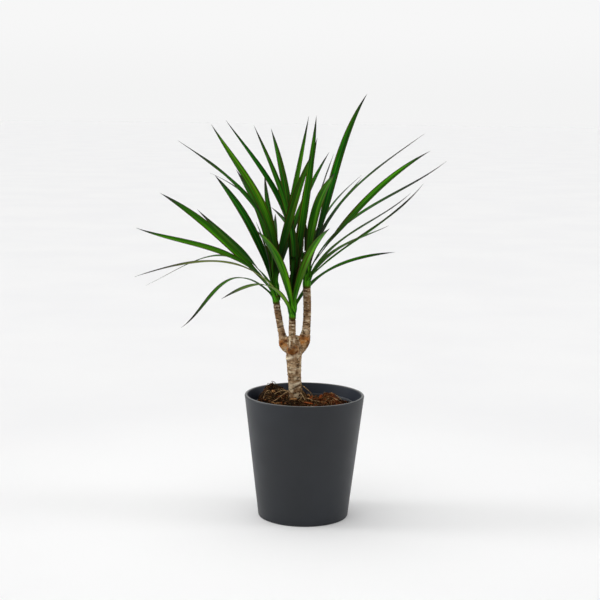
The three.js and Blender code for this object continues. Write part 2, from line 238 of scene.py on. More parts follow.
def layered(finish, colour, layers):
    """A colour under layers, each given as where it lies, how strong and what colour."""
    for share, strength, other in layers:
        strong = computed(finish, "MULTIPLY", share, strength)
        colour = mixed(finish, strong, colour, other)
    return colour


def speckle(finish, scale, detail=3.0, stretch=None, roughness=0.5):
    """Noise in the plant's own space, stretched along the axes where that is asked."""
    place = add_node(finish, "TexCoord", {}).outputs["Object"]
    if stretch is not None:
        place = add_node(finish, "Mapping", {"Vector": place, "Scale": stretch}).outputs[0]
    inputs = {"Vector": place, "Scale": scale, "Detail": detail, "Roughness": roughness}
    return add_node(finish, "TexNoise", inputs).outputs["Fac"]


def blotched(finish, scale, low, high, **how):
    """Soft-edged blotches: noise with a range of it picked out."""
    return picked(finish, speckle(finish, scale, **how), low, high)


def coat(finish, colour, roughness, bump=None, depth=0.0, **constants):
    """Fills the shader: what varies is linked, and what is the same all over is set."""
    shader = finish.node_tree.nodes["Principled BSDF"]
    for name, value in {"Base Color": colour, "Roughness": roughness, **constants}.items():
        socket = shader.inputs[name.replace("_", " ")]
        if isinstance(value, bpy.types.NodeSocket):
            finish.node_tree.links.new(value, socket)
        else:
            socket.default_value = value
    if bump is not None:
        inputs = {"Height": bump, "Distance": depth * MM, "Strength": 1.0}
        normal = add_node(finish, "Bump", inputs).outputs["Normal"]
        finish.node_tree.links.new(normal, shader.inputs["Normal"])
    print(f"{finish.name}: {len(finish.node_tree.nodes)} nodes")
    return finish


def grey(level):
    """A grey, or a light without colour, of the given strength."""
    return (level, level, level, 1.0)


def tone(red, green, blue):
    """A colour read off a screen, from 0 to 255, as the light it stands for."""
    light = [((level / 255 + 0.055) / 1.055) ** 2.4 for level in (red, green, blue)]
    return (*light, 1.0)


print("a middle grey of 128 stands for", round(tone(128, 128, 128)[0], 3), "of white's light")

# %% [markdown]
# ## The picture
# The plant stands in a white room, seen from about the height of its topmost leaf, with
# a long lens. The camera's height and tilt were worked out from the pot's outline: its
# rim and its base show as two ellipses, and only one height gives both. The picture is
# 600 pixels wide and as high, and the lens follows from the focal length in pixels.

# %% Camera
PICTURE_WIDTH = 600
FOCAL_PIXELS = 1390.7
CAMERA_PLACE = (-6.64, -1600, 484)
CAMERA_TILT = 8.1
CAMERA_ROLL = 0.75

lens = bpy.data.cameras.new("camera")
lens.lens = FOCAL_PIXELS / PICTURE_WIDTH * lens.sensor_width
camera = put_up("camera", lens)
level = Matrix.Rotation(math.radians(90 - CAMERA_TILT), 4, "X")
roll = Matrix.Rotation(math.radians(CAMERA_ROLL), 4, "Z")
camera.matrix_world = Matrix.Translation(Vector(CAMERA_PLACE) * MM) @ level @ roll
bpy.context.scene.camera = camera
print("lens of", round(lens.lens, 1), "mm,", CAMERA_PLACE[2], "mm above the floor")

# %% [markdown]
# A white room lights a plant from all sides, so the world itself is the main lamp. Its
# walls are white all round, a touch darker at the skirting so that the floor runs into
# them without a line. Its ceiling is brightest towards the left and dim towards the
# right and the front, where the photographer stands: without that the pot and the
# leaves would look flat. Two soft windows, a strong one at the left and a weaker one
# at the right, give the dark pot its two lighter sides. They are bright spots of the
# world and not lamps, because a lamp that stands low burns out the floor beneath it.
# One weak wide lamp hangs overhead. The floor is a plain pale disc, matt, and wide
# enough to reach the horizon. Towards the pot it is painted a little whiter, a painted
# light over the pot's shadow, because the photograph shows hardly any shadow there.

# %% Floor and light
SKIRTING_WHITE, WALL_WHITE = 0.9, 0.93
CEILING_DIM, CEILING_BRIGHT = 0.47, 1.15
BRIGHTEST = (-0.86, 0.1, 0.5)
WINDOWS = {  # towards which side, and how bright
    "left": ((-0.933, 0.027, 0.358), 9.5),
    "right": ((0.929, -0.095, 0.358), 6.0),
}
PANE_EDGE, PANE_FULL = 0.976, 0.989
LAMP_PLACE, LAMP_SIZE, LAMP_POWER = (0, 300, 3200), 2400, 4
FLOOR_RADIUS, FLOOR_SIDES = 30000, 96
WHITEST_WITHIN, WHITER_WITHIN = 120, 650

world = bpy.data.worlds.new("white_room")
world.use_nodes = True
direction = add_node(world, "TexCoord", {}).outputs["Generated"]
upwards = add_node(world, "SeparateXYZ", {0: direction}).outputs["Z"]
wall = mixed(world, picked(world, upwards, 0.0, 0.06), grey(SKIRTING_WHITE), grey(WALL_WHITE))


def faces_towards(place):
    """One where the world is seen straight in that direction, falling away from it."""
    inputs = {0: direction, 1: place}
    return add_node(world, "VectorMath", inputs, operation="DOT_PRODUCT").outputs["Value"]


lit = picked(world, faces_towards(BRIGHTEST), -0.5, 0.95)
ceiling = mixed(world, lit, grey(CEILING_DIM), grey(CEILING_BRIGHT))
room = mixed(world, picked(world, upwards, 0.12, 0.42), wall, ceiling)
for towards, brightness in WINDOWS.values():
    pane = picked(world, faces_towards(towards), PANE_EDGE, PANE_FULL)
    room = mixed(world, pane, room, grey(brightness))
world.node_tree.links.new(room, world.node_tree.nodes["Background"].inputs["Color"])
bpy.context.scene.world = world
bpy.context.scene.view_settings.view_transform = "Standard"

light = bpy.data.lights.new("ceiling_lamp", "AREA")
light.size = LAMP_SIZE * MM
light.energy = LAMP_POWER
lamp = put_up("ceiling_lamp", light)
lamp.location = Vector(LAMP_PLACE) * MM

floor_finish = new_finish("pale_floor")
paler = blotched(floor_finish, 3.0, 0.3, 0.7)
floor_colour = mixed(floor_finish, paler, (0.835, 0.835, 0.84, 1), grey(0.855))
# Painted light: the floor is painted whiter towards the pot, so that the pot's shadow on it
# stays faint.
spot = add_node(floor_finish, "TexCoord", {}).outputs["Object"]
away = add_node(floor_finish, "VectorMath", {0: spot}, operation="LENGTH").outputs["Value"]
painted_light_near_pot = picked(floor_finish, away, WHITER_WITHIN * MM, WHITEST_WITHIN * MM)
floor_colour = mixed(floor_finish, painted_light_near_pot, floor_colour, grey(0.93))
coat(floor_finish, floor_colour, 0.6, Specular_IOR_Level=0.0)
edge = lifted(FLOOR_RADIUS * circle(FLOOR_SIDES), 0)
floor_mesh = new_mesh("floor", edge, [tuple(range(FLOOR_SIDES))])
floor_mesh.materials.append(floor_finish)
floor = put_up("floor", floor_mesh)
floor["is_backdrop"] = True
print("floor, ceiling lamp and", len(WINDOWS), "windows in place")

# %% [markdown]
# ## The outer pot
# The real pot is injection-moulded: a tapered cup with an even wall, a rounded lip and
# a satin skin. A profile turned about the axis is how its mould was cut, so it is also
# the natural way to model it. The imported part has 64 flat sides; this one has enough
# sides, and enough points round the lip and the foot, to stay round close up.

# %% Turning a profile
def rounded(centre, size, start, end, steps=7):
    """Points [radius, height] round a corner, between two angles in degrees."""
    angles = np.radians(np.linspace(start, end, steps))
    return [(centre[0] + size * math.cos(a), centre[1] + size * math.sin(a)) for a in angles]


def turned(name, profile, sides):
    """A mesh from a profile that starts and ends on the axis, turned about it."""
    rings = [lifted(radius * circle(sides), height) for radius, height in profile[1:-1]]
    return closed(name, rings, profile[0][1], profile[-1][1])


POT_HEIGHT, POT_RIM, POT_BASE = 145, 70, 53
POT_WALL, POT_FLOOR, LIP = 3.5, 4, 1.5
POT_SIDES = 192
INNER_WALL_FROM = 17  # the point of the profile at which the inner wall begins
pot_slope = (POT_RIM - POT_BASE) / POT_HEIGHT
inner_foot = POT_BASE + pot_slope * POT_FLOOR - POT_WALL
pot_profile = [
    (0, 0),
    *rounded((POT_BASE - LIP, LIP), LIP, -90, -5),
    *rounded((POT_RIM - LIP, POT_HEIGHT - LIP), LIP, -5, 90),
    *rounded((POT_RIM - POT_WALL + LIP, POT_HEIGHT - LIP), LIP, 90, 185),
    *rounded((inner_foot - POT_WALL, POT_FLOOR + POT_WALL), POT_WALL, 0, -90),
    (0, POT_FLOOR),
]
print("pot profile of", len(pot_profile), "points")

# %% [markdown]
# The skin of the pot is charcoal with a hint of blue. Moulded plastic is never quite
# even: it clouds a little, its gloss drifts with handling, and it carries a fine
# spark-cut grain. The top of the lip is painted paler, a painted highlight, and the
# inside wall is painted paler and bluer, a painted light. All of that is kept faint,
# because from a step away the pot should read as one calm dark tone.

# %% Outer pot
charcoal = new_finish("charcoal_plastic")
clouds = blotched(charcoal, 14.0, 0.3, 0.7, detail=4)
charcoal_tone = mixed(charcoal, clouds, tone(15, 19, 25), tone(20, 25, 32))
spot = add_node(charcoal, "TexCoord", {}).outputs["Object"]
height = add_node(charcoal, "SeparateXYZ", {0: spot}).outputs["Z"]
painted_lip_highlight = picked(charcoal, height, (POT_HEIGHT - 0.5) * MM, POT_HEIGHT * MM)
# Painted light: the inside wall is painted paler and bluer, and the top of the lip paler, a
# painted highlight.
charcoal_tone = layered(charcoal, charcoal_tone, [
    (stored(charcoal, "inside"), 0.45, tone(48, 56, 72)),
    (painted_lip_highlight, 1, tone(104, 106, 106)),
])
gloss = ranged(charcoal, blotched(charcoal, 32.0, 0.2, 0.8, detail=5), 0.42, 0.52)
grain = speckle(charcoal, 2600.0, 2)
coat(charcoal, charcoal_tone, gloss, grain, 0.02, Specular_IOR_Level=0.45)
pot_mesh = turned("outer_pot", pot_profile, POT_SIDES)
# Where the painted light of the inside wall lies, along the profile.
inside = smooth((np.arange(len(pot_profile) - 2) - INNER_WALL_FROM) / 3)
store(pot_mesh, inside=np.concatenate([np.repeat(inside, POT_SIDES), [0, 1]]))
add_piece("outer_pot", pot_mesh, charcoal, "pot", "pot")

# %% [markdown]
# ## The nursery pot
# Inside stands the thin pot that the plant was grown in. Only its rolled rim shows,
# as a faint line at the back, but it is finished all round with its drain holes,
# because another scene may look down into the gap or lift it out.

# %% Nursery pot
SEAT = 0.3
NURSERY_FOOT = POT_FLOOR + SEAT
NURSERY_HEIGHT, NURSERY_RIM, NURSERY_BASE, NURSERY_WALL = 129.5, 60, 46, 1.2
ROLL_HEIGHT, ROLL_WIDTH = 5, 1.3
DRAIN_HOLES, DRAIN_RADIUS, DRAIN_CIRCLE, DRAIN_SIDES = 6, 3, 34, 24
NURSERY_SIDES = 144


def nursery_inside(height):
    """Radius of the nursery pot's inner wall at a height above its own underside."""
    outside = NURSERY_BASE + (NURSERY_RIM - NURSERY_BASE) * height / NURSERY_HEIGHT
    return outside - ROLL_WIDTH - NURSERY_WALL


def nursery_profile():
    roll_foot = NURSERY_HEIGHT - ROLL_HEIGHT
    soft, shoulder, chamfer = NURSERY_WALL / 2, NURSERY_WALL, 1
    top = NURSERY_FOOT + NURSERY_HEIGHT - soft
    return [
        (0, NURSERY_FOOT),
        (NURSERY_BASE - ROLL_WIDTH - chamfer, NURSERY_FOOT),
        (NURSERY_BASE - ROLL_WIDTH, NURSERY_FOOT + chamfer),
        (nursery_inside(roll_foot) + NURSERY_WALL, NURSERY_FOOT + roll_foot),
        *rounded((NURSERY_RIM - soft, NURSERY_FOOT + roll_foot + soft), soft, -90, 0, 4),
        *rounded((NURSERY_RIM - shoulder, top - soft), shoulder, 0, 90, 6),
        *rounded((nursery_inside(NURSERY_HEIGHT) + soft, top), soft, 90, 180, 4),
        (nursery_inside(NURSERY_WALL), NURSERY_FOOT + NURSERY_WALL),
        (0, NURSERY_FOOT + NURSERY_WALL),
    ]


def cut(mesh, cutter):
    """The mesh with the cutter's shape taken out, by a boolean modifier that is applied."""
    body, tool = put_up("body", mesh), put_up("tool", cutter)
    modifier = body.modifiers.new("cut", "BOOLEAN")
    modifier.object = tool
    modifier.operation = "DIFFERENCE"
    modifier.solver = "EXACT"
    done = worked_in(body)
    bpy.data.objects.remove(tool)
    return done


def drains():
    """Short upright rods where the drain holes go."""
    rings, faces = [], []
    for middle in DRAIN_CIRCLE * circle(DRAIN_HOLES):
        faces += skin(2, DRAIN_SIDES, first=DRAIN_SIDES * len(rings))
        flat = middle + DRAIN_RADIUS * circle(DRAIN_SIDES)
        for height in (NURSERY_FOOT - 2, NURSERY_FOOT + NURSERY_WALL + 2):
            rings.append(lifted(flat, height))
    return new_mesh("drains", np.vstack(rings), faces)


nursery_black = new_finish("nursery_plastic")
film = blotched(nursery_black, 45.0, 0.35, 0.75, detail=5)
nursery_tone = mixed(nursery_black, film, tone(27, 30, 34), tone(52, 56, 62))
coat(nursery_black, nursery_tone, 0.36, speckle(nursery_black, 900.0), 0.05)
nursery = cut(turned("nursery_pot", nursery_profile(), NURSERY_SIDES), drains())
add_piece("nursery_pot", nursery, nursery_black, "grow_pot", "grow_pot", sharp_above=35)

# %% [markdown]
# ## The mulch
# The pot is filled with bark mulch: a dark mass of crumbs, with splinters of bark lying
# every way and pale dry fibres between them. It is heaped at the back left and sinks
# at the back right. Three layers make it: a fine relief for the mass, several hundred
# loose chips, and thin fibres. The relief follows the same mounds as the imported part,
# with a crumbly unevenness added, and its edge is slumped where it meets the wall.

# %% Lie of the mulch
CANE_LINE = [
    (-9.8, -6, 112),
    (-10, -6, 132),
    (-10.6, -6, 146),
    (-12.1, -6, 168.7),
    (-12.8, -6, 188),
    (-12.8, -5, 199),
]
SOIL_LEVEL = 136
SHORE = SOIL_LEVEL - 12
MOUNDS = [  # height, x, y and spread
    (7, -10, -6, 24),
    (16, -42, 27, 19),
    (5, -42, -5, 22),
    (12, 29, -6, 13),
    (-9, 32, 34, 20),
]
SOIL_RADIUS = nursery_inside(SHORE - NURSERY_FOOT) - 2 * SEAT
SLUMP, SLUMPS_FROM = 4, 0.82  # how deep, and from which share of the radius


def soil_height(x, y):
    """Height of the mulch above the floor, mounds and the first unevenness."""
    height = SOIL_LEVEL + 1.3 * np.sin(0.31 * x + 1) * np.cos(0.27 * y)
    height += 0.9 * np.sin(0.53 * x - 0.47 * y)
    for rise, at_x, at_y, spread in MOUNDS:
        height += rise * np.exp(-((x - at_x) ** 2 + (y - at_y) ** 2) / spread**2)
    out = (np.hypot(x, y) / SOIL_RADIUS - SLUMPS_FROM) / (1 - SLUMPS_FROM)
    return height - SLUMP * smooth(out)


def crumbs(x, y):
    """A crumbly height to add: lumps of a few millimetres with sharp valleys."""
    lumps = noise.turbulence(Vector((x, y, 3)) / 7, 4, False)
    fine = noise.turbulence(Vector((x, y, 9)) / 2.2, 2, False)
    return 3.0 * (lumps - 0.6) + 0.9 * (fine - 0.5)


print("mulch lies from", round(float(soil_height(32, 34)), 1), "to",
      round(float(soil_height(-34, 35)), 1), "mm above the floor")

# %% Relief of the mulch
RELIEF_RINGS, RELIEF_SIDES = 84, 240


def mulch_relief():
    compass = circle(RELIEF_SIDES)
    foot = NURSERY_FOOT + NURSERY_WALL + SEAT
    foot_radius = nursery_inside(foot - NURSERY_FOOT) - 2 * SEAT
    rings = [lifted(foot_radius * compass, foot), lifted(SOIL_RADIUS * compass, SHORE)]
    for ring in range(RELIEF_RINGS):
        flat = SOIL_RADIUS * (1 - ring / RELIEF_RINGS) * compass
        rings.append(lifted(flat, soil_height(*flat.T) + [crumbs(x, y) for x, y in flat]))
    return closed("mulch", rings, foot, soil_height(0.0, 0.0))


print("relief of", RELIEF_RINGS * RELIEF_SIDES, "points")

# %% [markdown]
# Tubes come next, since the mulch needs one to leave a hole for the cane, and the cane,
# the stems and the fibres are tubes too. A smooth line is drawn through a few points,
# and rings stand square to it. The line is a centripetal Catmull-Rom curve, which goes
# through its points without loops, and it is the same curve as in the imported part.

# %% Tubes along a line
def drawn(points, samples):
    """Points at even spacing along a smooth line through the given ones."""
    points = np.asarray(points, dtype=float)
    padded = np.vstack([2 * points[0] - points[1], points, 2 * points[-1] - points[-2]])
    dense = [points[0]]
    for a, b, c, d in zip(padded, padded[1:], padded[2:], padded[3:]):
        steps = np.sqrt(np.linalg.norm(np.diff([a, b, c, d], axis=0), axis=1))
        t0, t1, t2, t3 = np.concatenate([[0], np.cumsum(steps)])
        t = np.linspace(t1, t2, 25)[1:, None]
        ab = ((t1 - t) * a + (t - t0) * b) / (t1 - t0)
        bc = ((t2 - t) * b + (t - t1) * c) / (t2 - t1)
        cd = ((t3 - t) * c + (t - t2) * d) / (t3 - t2)
        abc = ((t2 - t) * ab + (t - t0) * bc) / (t2 - t0)
        bcd = ((t3 - t) * bc + (t - t1) * cd) / (t3 - t1)
        dense.extend(((t2 - t) * abc + (t - t1) * bcd) / (t2 - t1))
    return evenly(np.array(dense), samples)


def run_along(line):
    """How far along a line each of its points lies."""
    return np.concatenate([[0], np.cumsum(np.linalg.norm(np.diff(line, axis=0), axis=1))])


def read_off(line, run, wanted):
    """The points that lie at the wanted distances along a line."""
    return np.column_stack([np.interp(wanted, run, axis) for axis in line.T])


def evenly(line, samples):
    """The same line with its points at even spacing."""
    run = run_along(line)
    return read_off(line, run, np.linspace(0, run[-1], samples))


def tube(line, radii, sides):
    """Rings of points round a line, with a radius at each of its points."""
    along = unit(np.gradient(line, axis=0))
    beside = np.array([1.0, 0, 0]) - along * along[:, :1]
    beside = unit(np.where(np.abs(along[:, :1]) > 0.95, np.cross(along, UP), beside))
    other = np.cross(along, beside)
    cosines, sines = circle(sides).T
    rings = [
        centre + radius * (np.outer(cosines, a) + np.outer(sines, b))
        for centre, radius, a, b in zip(line, radii, beside, other)
    ]
    return np.vstack(rings)


CANE_WAIST, CANE_TOP = 7.6, 9.3
HOLE_RINGS, HOLE_SIDES = 30, 48
hole_radii = np.full(HOLE_RINGS, CANE_WAIST + 1)
hole_points = tube(drawn(CANE_LINE, HOLE_RINGS), hole_radii, HOLE_SIDES)
mulch_mesh = cut(mulch_relief(), new_mesh("hole", hole_points, skin(HOLE_RINGS, HOLE_SIDES)))
print("mulch with its hole:", len(mulch_mesh.polygons), "faces")

# %% [markdown]
# Damp bark goes from near black to a warm brown, darkest on the heap at the back left,
# with a few rusty patches towards the right of the pot. Over all of it lie painted shade
# and light: the noise that bumps the surface also darkens its hollows near black and
# brightens its tops. The chips share that finish: each carries a tint of its own, from
# charred to pale, so no two neighbours match. The fibres go from brown to the straw
# colour of dry root.

# %% Finishes of the mulch
def bark_finish(name, dark, middle, light, rust):
    finish = new_finish(name)
    tint = stored(finish, "tint")
    bump_and_painted_shade = blotched(finish, 420.0, 0.32, 0.68, detail=6, roughness=0.7)
    colour = layered(finish, dark, [
        (picked(finish, tint, 0.05, 0.6), 1, middle),
        (picked(finish, tint, 0.62, 1.0), 1, light),
        (stored(finish, "rust"), 1, rust),
        (blotched(finish, 1500.0, 0.5, 0.75), 0.5, light),
    ])
    # Painted shade and light: the bump's noise also darkens the hollows near black and brightens
    # the tops.
    inputs = {0: 1.0, 6: colour, 7: ranged(finish, bump_and_painted_shade, 0.06, 1.9)}
    settings = {"data_type": "RGBA", "blend_type": "MULTIPLY"}
    colour = add_node(finish, "Mix", inputs, **settings).outputs[2]
    return coat(finish, colour, 0.88, bump_and_painted_shade, 0.6, Specular_IOR_Level=0.05)


damp_bark = bark_finish(
    "damp_bark", tone(10, 5, 3), tone(66, 36, 17), tone(168, 122, 76), tone(140, 66, 28)
)
dry_fibre = bark_finish(
    "dry_fibre", tone(52, 35, 18), tone(122, 90, 50), tone(218, 188, 146), tone(140, 80, 46)
)

# %% [markdown]
# A chip is a short splinter: four rings of six points, thin, wide in the middle and
# ragged, because every point is nudged. The chips are dropped at random over the whole
# mulch, tilted a little, and laid so low that most of them just touch it. The steps of
# the golden angle spread them evenly without rows, and chance shifts each one. They
# are small on the dark heap, and a few dozen more are piled against the cane's right
# side, where the mulch stands higher.

# %% Chips of bark
CHIPS, HEAPED = 760, 60
GOLDEN_ANGLE = math.radians(137.5)
CANE_CLEAR, WALL_CLEAR = 9, 2.5
RUST_PLACE = np.array([34.0, -6.0])
HEAP_PLACE = np.array([-42.0, 24.0])
HEAP_SPREAD = 24
RUST_SPREAD = 18
BESIDE_CANE = np.array([3.0, -7.0])
PILE_SPREAD, PILE_HEIGHT, PILE_REACH = 3.5, 8, 6
CHIP_SIDES = 6
CHIP_RINGS = ((-0.5, 0.45), (-0.22, 1.0), (0.2, 0.95), (0.5, 0.4))  # how far along, how thick
CHIP_POINTS = CHIP_SIDES * len(CHIP_RINGS)


def nearness(places, centre, spread):
    """One at a centre and less further out, for one place or for rows of them."""
    return np.exp(-((places - centre) ** 2).sum(axis=-1) / spread**2)


def turned_about(points, axis, angle):
    return points @ np.array(Matrix.Rotation(angle, 3, axis)).T


def chip_points(length, width, thickness):
    rings = []
    for along, girth in CHIP_RINGS:
        section = 0.5 * girth * circle(CHIP_SIDES) * (width, thickness)
        rings.append(np.column_stack([np.full(CHIP_SIDES, along * length), section]))
    points = np.vstack(rings)
    return points + chance.normal(0, 0.11, points.shape) * (width, width, thickness)


chip_rows, chip_faces, chip_tint, chip_rust = [], [], [], []
for order in range(CHIPS + HEAPED):
    away = (SOIL_RADIUS - WALL_CLEAR) * math.sqrt((order + 0.5) / CHIPS)
    turn = GOLDEN_ANGLE * order + chance.normal(0, 0.2)
    place = away * np.array([math.cos(turn), math.sin(turn)])
    heaped = 0.0
    if order >= CHIPS:
        place = BESIDE_CANE + chance.normal(0, PILE_SPREAD, 2)
        off = (place[0] - BESIDE_CANE[0]) / PILE_REACH
        heaped = PILE_HEIGHT * chance.random() * math.exp(-off * off)
    if np.linalg.norm(place - CANE_LINE[2][:2]) < CANE_CLEAR:
        continue
    near_heap = nearness(place, HEAP_PLACE, HEAP_SPREAD)
    length = (2.2 + 7.5 * chance.random() ** 2) * (1 - 0.55 * near_heap)
    width = length * chance.uniform(0.25, 0.6)
    points = chip_points(length, width, width * chance.uniform(0.35, 0.7))
    tilts = chance.normal(0, 0.35), chance.normal(0, 0.5), chance.uniform(0, FULL_TURN)
    for axis, angle in zip("YXZ", tilts):
        points = turned_about(points, axis, angle)
    lift = soil_height(*place) + crumbs(*place) + 0.2 * width + heaped
    chip_faces += skin(len(CHIP_RINGS), CHIP_SIDES, first=CHIP_POINTS * len(chip_rows))
    chip_rows.append(points + (*place, lift))
    near_rust = nearness(place, RUST_PLACE, RUST_SPREAD)
    chip_tint += CHIP_POINTS * [chance.random() ** (1.25 + 2.4 * near_heap)]
    rusted = float(chance.random() < 0.12 + 0.6 * near_rust) * chance.random()
    chip_rust += CHIP_POINTS * [rusted]

chips = new_mesh("bark_chips", np.vstack(chip_rows), chip_faces)
store(chips, tint=chip_tint, rust=chip_rust)
add_piece("bark_chips", chips, damp_bark, "soil", sharp_above=30)

# %% Mulch
def places_of(mesh):
    """The points of a mesh, in millimetres."""
    return np.array([vertex.co for vertex in mesh.vertices]) / MM


def unevenness(points, size):
    """Noise at every point, in lumps of about the given size."""
    return np.array([noise.noise(Vector(point) / size) for point in points])


spots = places_of(mulch_mesh)
rusting = 0.5 * nearness(spots[:, :2], RUST_PLACE, 16)
charred = 0.12 * nearness(spots[:, :2], HEAP_PLACE, 30)
store(mulch_mesh, tint=0.24 - charred + 0.4 * unevenness(spots, 5), rust=rusting)
add_piece("mulch", mulch_mesh, damp_bark, "soil", "soil", sharp_above=80)

# %% [markdown]
# Fibres wander over the mulch in loose bends. Each one is a walk: it sets out in some
# direction, turns a little at every step, and its height follows the mulch with a
# small hop, higher on the heap. Roots of the plant itself leave the cane's right side
# and run down into the mulch. Eight more are listed one by one, because the photograph
# shows them: one pale strand runs down the right edge of the cane, one leans out from
# it to the right, and the others arch over the mulch on both sides.

# %% Fibres and roots
FIBRES, ROOTS = 220, 16
STRAND_SIDES = 6
FIBRE_REACH, STRIDE = 49, 2.2
HAND_LAID = [  # lines, and their radius
    ([(-4.6, -8, 160), (-3.7, -9, 156), (-3.2, -10, 150), (-2.8, -12, 144),
      (-7, -18, 141)], 0.65),
    ([(-5.5, -5, 157), (-1.5, -8, 156), (2.5, -10, 153), (6.5, -12, 150), (10, -14, 145)], 0.6),
    ([(-1, -14, 143), (4, -17, 143.5), (9, -20, 142), (18, -22, 141)], 0.55),
    ([(-19, -9, 150), (-25, -14, 147), (-33, -20, 142), (-39, -22, 139)], 0.6),
    ([(-18, -4, 149), (-25, 0, 149), (-34, 2, 145), (-41, 2, 140)], 0.5),
    ([(-48, -4, 139), (-46, -2, 146), (-42, 0, 149), (-38, 3, 144)], 0.45),
    ([(24, -16, 140), (30, -14, 144), (37, -12, 142), (43, -14, 138)], 0.5),
    ([(22, 2, 140), (28, 3, 145), (36, 0, 145), (43, -3, 139)], 0.6),
]


def wandering():
    """A seeded walk over the mulch, as points in millimetres."""
    turn = chance.uniform(0, FULL_TURN)
    away = FIBRE_REACH * math.sqrt(chance.random())
    place = away * np.array([math.cos(turn), math.sin(turn)])
    heading = chance.uniform(0, FULL_TURN)
    steps = chance.integers(4, 10)
    hop = chance.uniform(0.2, 2.0) * (1 + 0.5 * nearness(place, HEAP_PLACE, HEAP_SPREAD))
    line = []
    for step in range(steps):
        share = step / (steps - 1)
        lift = soil_height(*place) + crumbs(*place) * 0.5 + hop * math.sin(math.pi * share)
        line.append((*place, lift - 0.2 + 0.6 * chance.random()))
        heading += chance.normal(0, 0.45)
        place = place + STRIDE * np.array([math.cos(heading), math.sin(heading)])
        place *= min(1, (SOIL_RADIUS - 3) / np.linalg.norm(place))
    return line


def leaving():
    """A root that leaves the cane's right side and runs down into the mulch."""
    start = np.array([-4.5, chance.uniform(-11, -3), chance.uniform(145, 154)])
    turn = chance.uniform(-1.0, 0.3)
    reach = chance.uniform(5, 14)
    end = start + reach * np.array([math.cos(turn), math.sin(turn), 0])
    end[2] = soil_height(end[0], end[1]) - 0.5
    middle = (start + end) / 2 + (0, 0, chance.uniform(0, 2.5))
    return [start, middle, end]


strands = [(line, radius, 0.75) for line, radius in HAND_LAID]
strands += [
    (wandering(), chance.uniform(0.14, 0.34), chance.random() ** 2.2) for _ in range(FIBRES)
]
strands += [
    (leaving(), chance.uniform(0.25, 0.5), chance.random() ** 0.8) for _ in range(ROOTS)
]
strand_points, strand_faces, strand_tint = [], [], []
for line, radius, tint in strands:
    samples = 4 * len(line)
    taper = radius * (1 - 0.6 * np.linspace(0, 1, samples) ** 2)
    strand_faces += skin(samples, STRAND_SIDES, first=len(strand_tint))
    strand_points.append(tube(drawn(line, samples), taper, STRAND_SIDES))
    strand_tint += STRAND_SIDES * samples * [tint]

fibres = new_mesh("dry_fibres", np.vstack(strand_points), strand_faces)
store(fibres, tint=strand_tint, rust=np.zeros(len(strand_tint)))
add_piece("dry_fibres", fibres, dry_fibre, "soil")

# %% [markdown]
# ## The cane and its stems
# A dragon tree that has been cut back sends out new stems just under the cut, so this
# cane ends in a blunt fork with a swollen knuckle at the foot of each stem. Cane and
# stems grew as one, and they are made as one: four tubes and an egg for the thick fork
# are pushed into each other, and a voxel remesh melts them into a single skin without
# seams. The old leaf scars are raised afterwards, ring by ring, because a remesh would
# wipe them away.

# %% Lines and radii of the wood
SOIL_LINE, SHOULDER = 146, 192
KNUCKLE_SWELL, KNUCKLE_LENGTH = 2.9, 0.12
STEMS = {
    "left": {
        "line": [
            (-14, -4, 190),
            (-22.5, 1, 202),
            (-25.6, 4, 210),
            (-29, 6, 223),
            (-34, 6, 250.7),
        ],
        "radius": 4.1,
        "knuckle": 0.27,
    },
    "middle": {
        "line": [(-12.9, -8, 190), (-14.6, -10.5, 202), (-15.2, -9.5, 214), (-15.2, -9, 234.7)],
        "radius": 4.2,
        "knuckle": 0.22,
    },
    "right": {
        "line": [
            (-10.5, -4, 190),
            (-4.8, 1, 200),
            (-1.2, 4, 209),
            (1, 5, 221),
            (1.9, 6, 244),
            (1, 6, 269.7),
        ],
        "radius": 4.7,
        "knuckle": 0.24,
    },
}
LIMB_SAMPLES, LIMB_SIDES = 160, 32


def cane_radii(line):
    share = np.clip((line[:, 2] - SOIL_LINE) / (SHOULDER - SOIL_LINE), 0, 1)
    top = np.maximum(0, (line[:, 2] - SHOULDER) / 5)
    return CANE_WAIST + (CANE_TOP - CANE_WAIST) * share**2 - 1.6 * top**2


def swelling(stem):
    share = np.linspace(0, 1, LIMB_SAMPLES)
    return np.exp(-(((share - stem["knuckle"]) / KNUCKLE_LENGTH) ** 2))


cane_line = drawn(CANE_LINE, LIMB_SAMPLES)
limbs = {"cane": (cane_line, cane_radii(cane_line))}
for name, stem in STEMS.items():
    radii = stem["radius"] + KNUCKLE_SWELL * swelling(stem)
    limbs[name] = (drawn(stem["line"], LIMB_SAMPLES), radii)
print("wood:", {name: round(float(radii.max()), 1) for name, (_, radii) in limbs.items()})

# %% Welding the limbs
VOXEL = 0.55
MELTING_STEPS = 6
FORK_CENTRE, FORK_REACH, FORK_RINGS = (-12.5, 0, 205.5), (14.5, 8.5, 9.5), 24


def fork_ball():
    """Rings of the thick wood between the feet of the stems, an egg lying on its side."""
    down = np.radians(np.linspace(176, 4, FORK_RINGS))
    rings = [lifted(math.sin(a) * circle(LIMB_SIDES), math.cos(a)) for a in down]
    return np.vstack(rings) * FORK_REACH + FORK_CENTRE


def welded():
    points, faces = [], []
    for line, radii in limbs.values():
        faces += skin(LIMB_SAMPLES, LIMB_SIDES, first=LIMB_SIDES * LIMB_SAMPLES * len(points))
        points.append(tube(line, radii, LIMB_SIDES))
    faces += skin(FORK_RINGS, LIMB_SIDES, first=LIMB_SIDES * LIMB_SAMPLES * len(points))
    points.append(fork_ball())
    wood = put_up("wood", new_mesh("wood", np.vstack(points), faces))
    remesh = wood.modifiers.new("weld", "REMESH")
    remesh.mode = "VOXEL"
    remesh.voxel_size = VOXEL * MM
    soften = wood.modifiers.new("soften", "SMOOTH")
    soften.factor = 0.5
    soften.iterations = MELTING_STEPS
    done = worked_in(wood)
    done.name = "wood"
    return done


wood_mesh = welded()
print("welded wood:", len(wood_mesh.vertices), "points")

